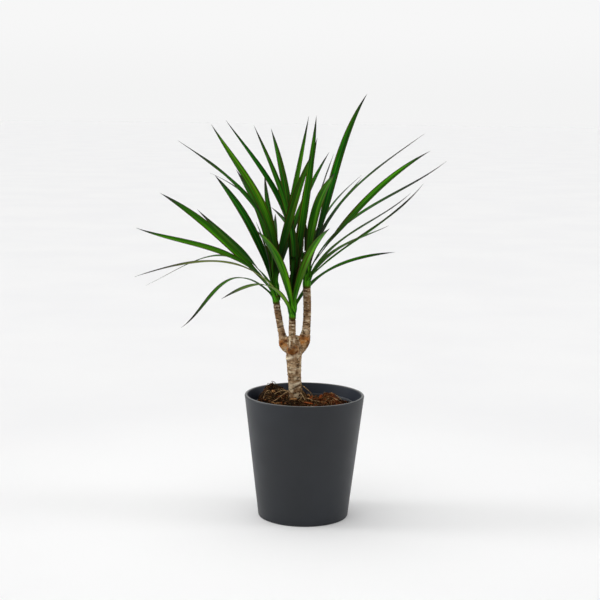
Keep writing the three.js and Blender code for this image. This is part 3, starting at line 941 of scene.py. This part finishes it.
# %% [markdown]
# Every leaf that fell left a ring. To raise them, each point of the skin looks up the
# limb it belongs to, how far along that limb it is, and on which side. From that come
# the ring it is on, and how near it is to a knuckle. Then come the marks that the
# photograph shows plainly: a pale torn collar high on the cane's left, a slanting pale
# band low on it, the dark gaps between the rings at the tops of the stems, and a
# number of dark and pale spots. The same numbers move the points and are stored for
# the finish.

# %% Rings, knuckles and marks
RING_PITCH = {"cane": 4.6, "left": 3.6, "middle": 3.1, "right": 3.7}
RING_HEIGHT = {"cane": 0.42, "left": 0.32, "middle": 0.36, "right": 0.32}


def beside_limb(points, line, radii):
    """For each point: its height over the limb's skin, its run, its side, and the sample."""
    gaps = points[:, None, :] - line[None, :, :]
    nearest = np.argmin((gaps**2).sum(axis=2), axis=1)
    away = gaps[np.arange(len(points)), nearest]
    run = np.linspace(0, run_along(line)[-1], len(line))
    depth = np.linalg.norm(away, axis=1) - radii[nearest]
    return depth, run[nearest], np.arctan2(away[:, 1], away[:, 0]), nearest


def ridge(run, side, pitch, seed):
    """One on the crest of a ring and nought between rings: slanted, uneven and broken."""
    wobble = np.array([noise.noise(Vector((r / 7, seed, 0))) for r in run])
    ripple = np.array([
        noise.noise(Vector((2.2 * math.cos(a), 2.2 * math.sin(a), r / 2.5 + seed)))
        for a, r in zip(side, run)
    ])
    slant = 0.16 * np.sin(side + 2.2 * np.floor(run / pitch))
    phase = run / pitch + 0.75 * wobble + slant + 0.22 * ripple
    strength = np.clip(0.75 + 0.9 * ripple, 0.1, 1.3)
    return strength * np.exp(-(((phase % 1 - 0.5) / 0.17) ** 2)), np.floor(phase)


def patch(value, middle, spread):
    return np.exp(-(((value - middle) / spread) ** 2))


points = places_of(wood_mesh)
looked_up = {name: beside_limb(points, *limb) for name, limb in limbs.items()}
depths = np.array([looked_up[name][0] for name in limbs])
belonging = np.exp(-(depths - depths.min(axis=0)) / 0.6)
belonging /= belonging.sum(axis=0)

rings, ring_tint, push, knuckle, dusk = np.zeros((5, len(points)))
for seed, (name, share) in enumerate(zip(limbs, belonging)):
    _, run, side, nearest = looked_up[name]
    crest, number = ridge(run, side, RING_PITCH[name], 7.3 * seed)
    rings += share * crest
    ring_tint += share * (0.5 + 0.5 * np.sin(12.9 * number + 3 * seed))
    push += share * crest * RING_HEIGHT[name]
    if name in STEMS:
        knuckle += share * swelling(STEMS[name])[nearest]
        dusk += share * smooth((run - run.max() + 12) / 6) * (1 - 1.4 * crest)
print("rings up to", round(float(push.max()), 2), "mm proud")

# %% Marks that the photograph shows
MARKS = {  # the side it faces, how far it reaches round, its height, slant and breadth
    "collar": (222, 0.8, 192.2, 0.4, 1.5),
    "collar_shadow": (215, 0.7, 188.8, 0.4, 0.9),
    "low_band": (290, 0.75, 158.8, 0.28, 1.3),
    "low_shadow": (283, 0.8, 154.7, 0.49, 1.2),
    "bulge": (257, 0.5, 198.3, 0, 4.4),
}
DARK_SPOTS = [  # x, z, how wide and how high, and how strong; they all face the camera
    (-24.5, 215, 1.9, 1.9, 1), (-2.6, 214, 2.3, 1.9, 0.9), (-2.1, 211, 2.8, 1.4, 0.6),
    (-9.5, 173, 1.4, 1.2, 0.9), (-18.9, 168, 0.9, 1, 1), (-8.6, 166, 0.8, 2.8, 0.7),
    (1.3, 251, 2.5, 0.6, 1), (3.4, 245, 1.2, 0.8, 0.9), (0.9, 259, 2.9, 0.6, 0.7),
    (-2, 240, 0.9, 0.9, 0.8), (5.7, 229, 0.9, 6, 0.6), (-27.9, 234, 1.2, 7, 0.6),
    (-14.4, 234, 2.9, 0.9, 1), (-13.2, 231, 2.3, 0.7, 1), (-14.3, 227, 2.3, 0.7, 1),
    (-14.3, 223.5, 2.9, 0.6, 0.8), (-32.7, 246.5, 3.5, 0.7, 1), (-32.1, 243, 3.5, 0.6, 0.9),
    (-23.5, 208, 2.9, 2.9, 0.6), (2.2, 205, 1.2, 2.3, 0.6), (-27, 205, 2.2, 1.2, 0.5),
]
PALE_SPOTS = [
    (-18, 208, 0.8, 4.7, 0.9), (-13, 211, 1.2, 2.3, 0.8), (-11, 177, 1.9, 0.6, 0.8),
    (-18, 174, 1.2, 1.2, 0.7), (0.8, 221, 1.9, 1.2, 0.8), (2.4, 232, 2.6, 0.6, 0.8),
    (-14.9, 229, 1.9, 0.7, 1), (-14.3, 225.3, 1.6, 0.7, 0.9), (-33.3, 249, 2.3, 0.9, 0.8),
    (-32.5, 244.8, 2.3, 0.7, 0.7), (0.3, 261, 1.7, 0.7, 0.7), (-16.4, 157, 1.9, 3.5, 0.4),
]


def around(side, degrees, spread):
    """One where a limb faces that way, seen from above, and less to either side."""
    return patch((side - math.radians(degrees) + math.pi) % FULL_TURN - math.pi, 0, spread)


def spotted(spots, facing):
    jagged = 0.8 * unevenness(points, 1.4)
    total = sum(
        strength * patch(points[:, 0], x, wide) * patch(points[:, 2] + jagged, z, high)
        for x, z, wide, high, strength in spots
    )
    return total * facing


normals = np.zeros(3 * len(points), dtype=np.float32)
wood_mesh.vertices.foreach_get("normal", normals)
normals = normals.reshape(-1, 3)
cane_side, above = looked_up["cane"][2], points[:, 2]
right_of_cane = points[:, 0] + 12
mark = {
    name: around(cane_side, degrees, reach) * patch(above, z + slant * right_of_cane, breadth)
    for name, (degrees, reach, z, slant, breadth) in MARKS.items()
}
facing = smooth(0.4 - 2 * normals[:, 1])
pale = 1.2 * mark["collar"] + 1.1 * mark["low_band"] + spotted(PALE_SPOTS, facing)
dark = 0.8 * mark["collar_shadow"] + 1.1 * mark["low_shadow"] + 0.8 * mark["bulge"]
dark += spotted(DARK_SPOTS, facing)
roughen = np.array([noise.turbulence(Vector(p) / 3.2, 3, False) - 0.6 for p in points])
push += 1.3 * mark["collar"] + 0.7 * mark["low_band"] + 1.1 * mark["bulge"]
push += 0.28 * roughen

points += push[:, None] * normals
wood_mesh.vertices.foreach_set("co", (points * MM).ravel())
# Painted light: the knuckles' orange is painted strongest on their front.
store(
    wood_mesh, ring=rings, ring_tint=ring_tint, knuckle=knuckle * (0.6 + 0.4 * facing),
    pale=np.clip(pale, 0, 1), dark=np.clip(dark + 0.6 * dusk, 0, 1),
)
print("marks:", ", ".join(MARKS), "and", len(DARK_SPOTS) + len(PALE_SPOTS), "spots")

# %% [markdown]
# Dry bark is tan and streaked lengthwise, with a tint of its own between each two
# rings, cream patches where the outer skin has come away, paler crests, and short dark
# dashes that lie level like the old scars. The knuckles are younger wood and orange-brown,
# painted strongest on their front, a painted light. Then come the pale and the
# dark marks, and dark flecks over everything. The whole is kept dull.

# %% Finish of the wood
def bark_of_cane():
    finish = new_finish("ringed_bark")
    streaks = blotched(finish, 260.0, 0.3, 0.7, detail=5, stretch=(1, 1, 0.35))
    clouds = blotched(finish, 120.0, 0.53, 0.66, stretch=(1, 1, 1.6))
    dashes = blotched(finish, 210.0, 0.52, 0.63, detail=4, stretch=(1, 1, 3.2))
    knuckle_orange = mixed(
        finish, blotched(finish, 170.0, 0.42, 0.62, detail=4), tone(78, 38, 8),
        tone(168, 104, 44),
    )
    knuckle_orange = layered(finish, knuckle_orange, [(clouds, 0.5, tone(196, 152, 96))])
    colour = mixed(finish, streaks, tone(116, 88, 60), tone(182, 154, 120))
    colour = layered(finish, colour, [
        (stored(finish, "ring_tint"), 0.6, tone(104, 72, 42)),
        (clouds, 0.75, tone(206, 188, 156)),
        (picked(finish, stored(finish, "ring"), 0.6, 1.1), 1, tone(190, 170, 140)),
        (dashes, 0.85, tone(50, 34, 20)),
        # The knuckle orange, painted strongest on the front, a painted light.
        (picked(finish, stored(finish, "knuckle"), 0.35, 0.9), 0.85, knuckle_orange),
        (stored(finish, "pale"), 1, tone(222, 204, 176)),
        (stored(finish, "dark"), 0.9, tone(58, 29, 8)),
        (blotched(finish, 620.0, 0.58, 0.7, detail=4, roughness=0.7), 0.85, tone(34, 20, 12)),
    ])
    fine = speckle(finish, 900.0, 4, stretch=(1, 1, 0.5))
    return coat(finish, colour, 0.82, fine, 0.25, Specular_IOR_Level=0.08)


ringed_bark = bark_of_cane()
add_piece("wood", wood_mesh, ringed_bark, "trunk", "trunk", sharp_above=180)

# %% [markdown]
# ## The leaves
# A leaf of a dragon tree is a strap that clasps the stem at its foot, leaves it upright,
# widens to about a centimetre at most and runs out into a hard point. It is slightly
# gutter-shaped, with a fine groove on top where the midrib lies and a keel below. Each
# leaf follows a Bezier arch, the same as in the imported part: `turn` is its direction
# seen from above, in degrees; `reach` and `climb` give its tip from the head's foot;
# `arch` and `tail` bow the inner and the outer half; `sway` bows it sideways; `twist`
# turns its face, from the share given as `late` on. `light` is how light and yellow its
# green is, and `dry` the share of its length, from the tip back, that has dried. They
# are listed from the oldest, lowest leaf to the youngest.

# %% The three heads
FIELDS = (
    "turn", "reach", "climb", "arch", "tail", "sway", "twist", "width", "late", "light", "dry",
)
HEADS = {
    "head_left": {
        "foot": (-34, 6, 251),
        "lean": (-0.15, 0, 1),
        "girth": 4.3,
        "leaves": [
            (153, 131, -40, 80, 10, 0, 12, 9, 0, 0.3, 0.45),
            (159, 171, 11, 84, 28, 0, -8, 9, 0, 0.5, 0.5),
            (194, 164, 90, 40, 6, 0, -45, 8.6, 0, 0.7, 0.2),
            (133, 123, 146, 66, 44, 0, 15, 8, 0, 0.2, 0.45),
            (157, 154, 123, 10, 13, 0, -60, 9.7, 0, 0.55, 0.2),
            (157, 130, 186, 65, 32, 0, -10, 9, 0, 0.25, 0.35),
            (116, 122, 150, 40, 22, 0, 0, 9, 0, 0.3, 0.25),
            (228, 128, 116, 9, 0, 0, -60, 11.5, 0, 0.2, 0.25),
            (127, 132, 143, 22, 16, 0, -20, 10.3, 0, 0.1, 0.2),
            (92, 150, 93, 20, 10, 0, 20, 7, 0, 0.4, 0.3),
            (224, 101, 208, 40, 5, 14, 35, 10.3, 0, 0.85, 0.12),
            (61, 126, 173, 12, 14, 0, 0, 8, 0, 0.4, 0.2),
            (300, 69, 218, -4, -2, 0, 0, 8, 0, 0.45, 0.2),
            (291, 107, 178, 10, 16, 2, 0, 10.5, 0, 0.2, 0.12),
            (200, 26, 96, 3, 3, 0, 0, 7, 0, 0.3, 0.25),
        ],
    },
    "head_middle": {
        "foot": (-15.2, -9, 235),
        "lean": (0, 0, 1),
        "girth": 4.3,
        "leaves": [
            (240, 150, 41, 44, 24, 0, -5, 9.5, 0, 1.15, 0.3),
            (202, 188, 56, 66, 38, 0, -10, 9, 0, 1.3, 0.5),
            (30, 141, 72, 18, 16, 34, 45, 7.2, 0.4, 0.4, 0.25),
            (85, 140, 78, 30, 22, 0, 0, 9, 0, 0.3, 0.3),
            (256, 154, 116, 25, 18, 0, 0, 10.5, 0, 1, 0.15),
            (284, 160, 120, 25, 21, 0, 0, 10, 0, 0.95, 0.15),
            (106, 135, 161, 4, 2, 8, 0, 8.5, 0, 0.3, 0.25),
            (144, 101, 227, 58, 19, -10, -15, 9.5, 0, 0, 0.15),
            (125, 85, 221, 54, 22, 0, 0, 8.5, 0, 0.3, 0.2),
            (107, 99, 217, 44, 32, 0, 0, 9.5, 0, 0.2, 0.15),
            (75, 104, 207, 20, 15, 0, 0, 8.5, 0, 0.5, 0.15),
            (58, 47, 234, 3, -5, 0, 30, 9, 0, 0.4, 0.15),
            (20, 12, 86, 2, 3, 0, 0, 5.5, 0, 0.6, 0.2),
        ],
    },
    "head_right": {
        "foot": (1, 6, 270),
        "lean": (0, 0, 1),
        "girth": 4.9,
        "leaves": [
            (42, 134, 66, 28, 6, 0, -2, 8, 0, 0.5, 0.2),
            (26, 137, 108, 28, -3, 0, -5, 9, 0, 0.5, 0.6),
            (335, 141, 126, 8, -12, 0, -9, 9, 0, 0.4, 0.6),
            (86, 138, 50, 34, 20, 0, 0, 9, 0, 0.3, 0.3),
            (7, 162, 148, 42, 2, 0, 12, 9, 0, 0.3, 0.6),
            (59, 128, 126, 44, 20, 0, -27, 7, 0, 0.3, 0.5),
            (51, 103, 124, 26, 10, 0, -15, 8, 0, 0.3, 0.45),
            (112, 119, 85, 25, 15, 0, 0, 7, 0, 0.3, 0.4),
            (281, 143, 141, 46, 24, 0, 0, 11, 0, 0.9, 0.15),
            (340, 144, 162, 10, 19, 0, 75, 8.2, 0, 0.6, 0.2),
            (20, 146, 179, 40, 17, 0, 0, 8.5, 0, 0.2, 0.6),
            (74, 114, 152, 30, 13, 0, -50, 7, 0, 0.2, 0.7),
            (24, 74, 225, -3, 18, 0, 45, 10, 0, 0.1, 0.15),
            (110, 9, 78, 2, 3, 0, 0, 6, 0, 0.5, 0.2),
        ],
    },
}
LOWEST_ROOT, HIGHEST_ROOT = 5, 25.5
for name, head in HEADS.items():
    head["foot"], head["lean"] = np.array(head["foot"], float), np.array(head["lean"], float)
    print(name, "has", len(head["leaves"]), "leaves")

# %% [markdown]
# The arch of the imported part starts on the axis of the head, which is simple and strong
# for a solid. A real leaf starts outside, pressed to the stem. So the first stretch of
# the arch is swapped for one that climbs the stem's surface and then eases out into
# the old line, and from there on nothing changes: the tips stay where they are.

# %% The line of a leaf
ARCH_SAMPLES, ARCH_POINTS, CLIMB_POINTS = 400, 300, 40
LEAF_STATIONS = 46
EASES_OUT_AT = 9.0
CLASP_RADIUS = 3.6
CLASP_RISE = 13.0


def bezier(start, second, third, end, samples):
    t = np.linspace(0, 1, samples)[:, None]
    weights = (1 - t) ** 3, 3 * t * (1 - t) ** 2, 3 * t * t * (1 - t), t**3
    return sum(w * p for w, p in zip(weights, (start, second, third, end)))


def leaf_arch(head, leaf, root):
    """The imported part's line of a leaf, and each point's share of its length."""
    turn = math.radians(leaf["turn"])
    start = head["foot"] + head["lean"] * root
    outwards = leaf["reach"] * np.array([math.cos(turn), math.sin(turn), 0])
    tip = head["foot"] + outwards + leaf["climb"] * UP
    chord = tip - start
    side = unit(np.cross(UP, chord))
    over = unit(np.cross(chord, side))
    second = start + chord / 3 + over * leaf["arch"] + side * leaf["sway"]
    third = start + chord * 2 / 3 + over * leaf["tail"] + side * leaf["sway"]
    arch = evenly(bezier(start, second, third, tip, ARCH_SAMPLES), ARCH_POINTS)
    return arch, np.linspace(0, 1, ARCH_POINTS)


def leaf_line(head, leaf, order):
    """Points from the clasping foot to the tip, their shares, and the way the leaf points."""
    last = len(head["leaves"]) - 1
    root = LOWEST_ROOT + (HIGHEST_ROOT - LOWEST_ROOT) * order / last
    arch, share = leaf_arch(head, leaf, root)
    foot, lean = head["foot"], head["lean"]
    height = (arch - foot) @ lean / (lean @ lean)
    away = np.linalg.norm(arch - foot - height[:, None] * lean, axis=1)
    joins = int(np.argmax(away > min(EASES_OUT_AT, 0.6 * away.max())))
    outwards = arch[joins] - foot - height[joins] * lean
    outwards = unit(outwards - outwards[2] * UP)
    rise = min(CLASP_RISE * order / last + 0.4, height[joins] - 7)
    start = foot + lean * rise + outwards * CLASP_RADIUS
    reach = 0.42 * np.linalg.norm(arch[joins] - start)
    along = unit(arch[joins + 1] - arch[joins])
    second, third = start + reach * unit(lean), arch[joins] - reach * along
    climb = bezier(start, second, third, arch[joins], CLIMB_POINTS)
    line = np.vstack([climb[:-1], arch[joins:]])
    low_shares = np.linspace(0, share[joins], CLIMB_POINTS)[:-1]
    shares = np.concatenate([low_shares, share[joins:]])
    return line, shares, outwards


print("a leaf line has", LEAF_STATIONS, "stations")

# %% [markdown]
# Across the leaf runs an arc. At the foot the arc closes round the stem, further out it
# opens into a shallow gutter, and at the tip it is nearly flat. The leaf has a real
# thickness: about half a millimetre, more along the keel and less at the margins,
# where the two faces meet. Eleven points across the upper face and nine across the
# lower one keep the groove, the keel and the thin margins crisp.

# %% The skin of a leaf
ACROSS = np.array([-1, -0.94, -0.72, -0.38, -0.1, 0, 0.1, 0.38, 0.72, 0.94, 1])
ROUND_LEAF = np.concatenate([ACROSS, ACROSS[-2:0:-1]])  # over the top and back below
UPPER = np.concatenate([np.ones(len(ACROSS)), np.zeros(len(ACROSS) - 2)])
MARGINS = [0, len(ACROSS) - 1]
UPPER[MARGINS] = 0.5
LEAF_SIDES = len(ROUND_LEAF)
ROOT_SHARE, FULL_AT, TAPER = 0.55, 0.38, 2.7
CLASP_HALF_WIDTH, CLASP_LENGTH = 7.0, 17
SHADED_TO, LIT_FROM = 35, 145
GUTTER = 0.34
THICKNESS, KEEL, GROOVE = 0.55, 0.5, 0.14


def leaf_outline(share):
    """Half the width at a share of the length, as a share of the widest."""
    opening = ROOT_SHARE + (1 - ROOT_SHARE) * smooth(share / FULL_AT)
    closing = 1 - np.clip((share - FULL_AT) / (1 - FULL_AT), 0, 1) ** TAPER
    return np.where(share < FULL_AT, opening, closing)


def leaf_frame(line, shares, outwards, twist, late):
    """The directions across the leaf and up out of its face, at every station."""
    along = unit(np.gradient(line, axis=0))
    held = 0.35 * (1 - smooth(shares / 0.12))[:, None] * outwards
    level = np.cross(UP, along + held)
    level = unit(level - (level * along).sum(axis=1, keepdims=True) * along)
    face = np.cross(along, level)
    turn = math.radians(twist) * smooth(2 * (shares - late))[:, None]
    across = np.cos(turn) * level + np.sin(turn) * face
    return across, np.cross(along, across)


def leaf_skin(line, shares, outwards, leaf, inner, ripple):
    """Rings of points round the leaf, and the numbers stored with them."""
    across, face = leaf_frame(line, shares, outwards, leaf["twist"], leaf["late"])
    run = run_along(line)
    clasp = 1 - smooth(run / CLASP_LENGTH)
    free_half = leaf["width"] / 2 * leaf_outline(shares)
    half = np.maximum(0.04, free_half + clasp * (CLASP_HALF_WIDTH - free_half))
    bend = GUTTER / np.maximum(half, 1.2) * (1 - 0.6 * shares)
    bend = bend + clasp**1.5 * (1 / CLASP_RADIUS - bend)
    thick = THICKNESS * (0.35 + 0.65 * leaf_outline(shares)) * (1 - 0.3 * clasp)
    keel = KEEL * (1 - shares) ** 1.5 * (1 - clasp)
    rib = np.exp(-((ROUND_LEAF / 0.12) ** 2))
    rings = []
    for i in range(len(line)):
        angle = ROUND_LEAF * half[i] * bend[i]
        outline = np.sin(angle) / bend[i], (1 - np.cos(angle)) / bend[i]
        body = thick[i] * np.sqrt(np.maximum(0, 1 - ROUND_LEAF**2)) / 2
        lift = np.where(UPPER > 0.5, body - GROOVE * rib, -body - keel[i] * rib)
        lift[MARGINS] = 0
        wave = ripple * ROUND_LEAF * np.sin(0.11 * run[i] + 5 * ripple) * half[i]
        sideways = outline[0] - np.sin(angle) * lift
        above = outline[1] + np.cos(angle) * lift + wave
        rings.append(line[i] + np.outer(sideways, across[i]) + np.outer(above, face[i]))
    dried = smooth((shares - 1 + leaf["dry"]) / (0.8 * leaf["dry"]))
    shade = inner * (1 - smooth((run - SHADED_TO) / (LIT_FROM - SHADED_TO)))
    return np.vstack(rings), {
        "dried": np.repeat(dried, LEAF_SIDES),
        "across": np.tile(ROUND_LEAF, len(line)),
        "upper": np.tile(UPPER, len(line)),
        "run": np.repeat(run, LEAF_SIDES),
        "shade": np.repeat(shade, LEAF_SIDES),
    }


print("leaf section of", LEAF_SIDES, "points")

# %% [markdown]
# In the middle of each head stands the bud, a slim cone of leaves that are still rolled
# round each other. It carries the clasping feet of the open leaves, and closes the
# view down into the head from above.

# %% Building a head
BUD_RADII = (1.0, 1.05, 0.92, 0.66, 0.42, 0.16)
BUD_HEIGHT, BUD_SIDES, BUD_LIGHT = 30, 20, 0.6
BUD_GREEN_TO = 12


def bud(head):
    """The rolled bud as rings of points, with the same stored numbers as a leaf."""
    heights = BUD_HEIGHT * np.linspace(0, 1, 4 * len(BUD_RADII))
    steps = np.linspace(0, 1, len(BUD_RADII))
    radii = 0.94 * head["girth"] * np.interp(heights / BUD_HEIGHT, steps, BUD_RADII)
    points = tube(head["foot"] + heights[:, None] * head["lean"], radii, BUD_SIDES)
    zeros = np.zeros(len(points))
    across = np.sin(3 * FULL_TURN * np.arange(BUD_SIDES) / BUD_SIDES)
    return points, {
        "dried": zeros, "across": np.tile(across, len(heights)), "upper": zeros,
        "run": np.repeat(np.minimum(heights, BUD_GREEN_TO), BUD_SIDES), "shade": zeros,
    }


def build_head(name, head, finish):
    rings, values = bud(head)
    points, numbers = [rings], [{**values, "light": np.full(len(rings), BUD_LIGHT)}]
    faces = skin(len(rings) // BUD_SIDES, BUD_SIDES)
    last = len(head["leaves"]) - 1
    for order, row in enumerate(head["leaves"]):
        leaf = dict(zip(FIELDS, row))
        line, shares, outwards = leaf_line(head, leaf, order)
        run = run_along(line)
        wanted = run[-1] * np.linspace(0, 1, LEAF_STATIONS) ** 1.25
        line, shares = read_off(line, run, wanted), np.interp(wanted, run, shares)
        inner = smooth(order / last * 1.6 - 0.3)
        faces += skin(LEAF_STATIONS, LEAF_SIDES, first=sum(len(made) for made in points))
        rings, values = leaf_skin(line, shares, outwards, leaf, inner, chance.normal(0, 0.03))
        points.append(rings)
        numbers.append({**values, "light": np.full(len(rings), leaf["light"])})
    mesh = new_mesh(name, np.vstack(points), faces)
    store(mesh, **{key: np.concatenate([row[key] for row in numbers]) for key in numbers[0]})
    return add_piece(name + "_leaves", mesh, finish, "leaves", name, sharp_above=180)


print("a bud stands", BUD_HEIGHT, "mm over the stem")

# %% [markdown]
# The upper face of a leaf is a deep satin green, the lower face paler and more olive,
# and `light` moves both towards a yellower green; above one it turns an old leaf olive.
# Streaks run from end to end, so the noise for them is squeezed across the leaf and
# stretched along it. Wider drifts of dark green and of brown lie over them, one half
# is in the fold's shade, the midrib is pale, and a maroon margin runs all the way
# round. The inner leaves are dark low down, where little light comes. The foot is
# striped bright and dark green with a torn brown hem, and the point dries to a dark
# violet grey.

# %% Finish of the leaves
def leaf_finish():
    finish = new_finish("satin_leaf")
    across, run = stored(finish, "across"), stored(finish, "run")
    light = stored(finish, "light")

    def unrolled(*scales):
        """A place on the leaf laid flat: across it, along it, and one for each leaf."""
        place = {
            axis: computed(finish, "MULTIPLY", value, scale)
            for axis, (value, scale) in enumerate(zip((across, run, light), scales))
        }
        return add_node(finish, "CombineXYZ", place).outputs[0]

    def streaks(place, scale, detail, low, high):
        """Noise drawn out along the leaf, with a range of it picked out."""
        inputs = {"Vector": place, "Scale": scale, "Detail": detail}
        return picked(finish, add_node(finish, "TexNoise", inputs).outputs["Fac"], low, high)

    strip = unrolled(3.6, 0.014, 40.0)
    veins = streaks(strip, 1.0, 4.0, 0.3, 0.7)
    drift = streaks(strip, 0.7, 1.0, 0.35, 0.65)
    flush = streaks(strip, 0.45, 2.0, 0.56, 0.7)
    stripes = streaks(unrolled(7.0, 0.05, 70.0), 1.0, 2.0, 0.38, 0.62)

    top = mixed(
        finish, light, mixed(finish, veins, tone(1, 42, 2), tone(10, 120, 10)),
        mixed(finish, veins, tone(18, 94, 4), tone(96, 176, 16)),
    )
    below = mixed(
        finish, light, mixed(finish, veins, tone(14, 78, 5), tone(52, 116, 12)),
        mixed(finish, veins, tone(34, 122, 6), tone(100, 170, 22)),
    )
    edge = computed(finish, "ABSOLUTE", across, 0.0)
    torn = computed(finish, "SUBTRACT", run, computed(finish, "MULTIPLY", veins, 3.0))
    margin = computed(
        finish, "MULTIPLY", picked(finish, edge, 0.8, 0.94), picked(finish, run, 1.0, 22.0)
    )
    fresh = mixed(finish, stripes, tone(8, 52, 2), tone(84, 162, 26))
    colour = mixed(finish, stored(finish, "upper"), below, top)
    colour = layered(finish, colour, [
        (drift, 0.6, tone(4, 50, 4)),
        (picked(finish, light, 1.0, 1.5), 1, tone(150, 146, 78)),  # old and worn
        (picked(finish, edge, 0.13, 0.04), 0.35, tone(96, 132, 30)),  # the midrib
        (picked(finish, edge, 0.5, 0.85), 0.6, tone(86, 94, 8)),  # beside the margin
        (flush, 0.6, tone(84, 44, 10)),
        (stored(finish, "shade"), 0.95, tone(2, 18, 2)),
        (picked(finish, run, 34.0, 8.0), 1, fresh),  # the clasping foot
        (picked(finish, across, 0.03, -0.03), 0.45, tone(4, 46, 4)),  # the shaded half
        (picked(finish, torn, 2.0, 0.4), 0.85, tone(66, 52, 14)),  # the torn hem
        (stored(finish, "dried"), 0.9, tone(42, 32, 39)),
        (margin, 0.9, tone(42, 12, 12)),
    ])
    gloss = ranged(finish, veins, 0.42, 0.52)
    return coat(finish, colour, gloss, veins, 0.08, Specular_IOR_Level=0.03)


satin_leaf = leaf_finish()
for name, head in HEADS.items():
    build_head(name, head, satin_leaf)

# %% [markdown]
# ## Holding it against the frame
# Last comes the tape measure. The finished plant must fill the imported box and not
# outgrow it, so both boxes are printed side by side.

# %% Sizes
sizes = {
    "cad": [list(corner) for corner in cad_box],
    "visual": [list(corner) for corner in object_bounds()],
}
for name, corners in sizes.items():
    print(name, "box in mm:", [[round(1000 * side, 1) for side in corner] for corner in corners])
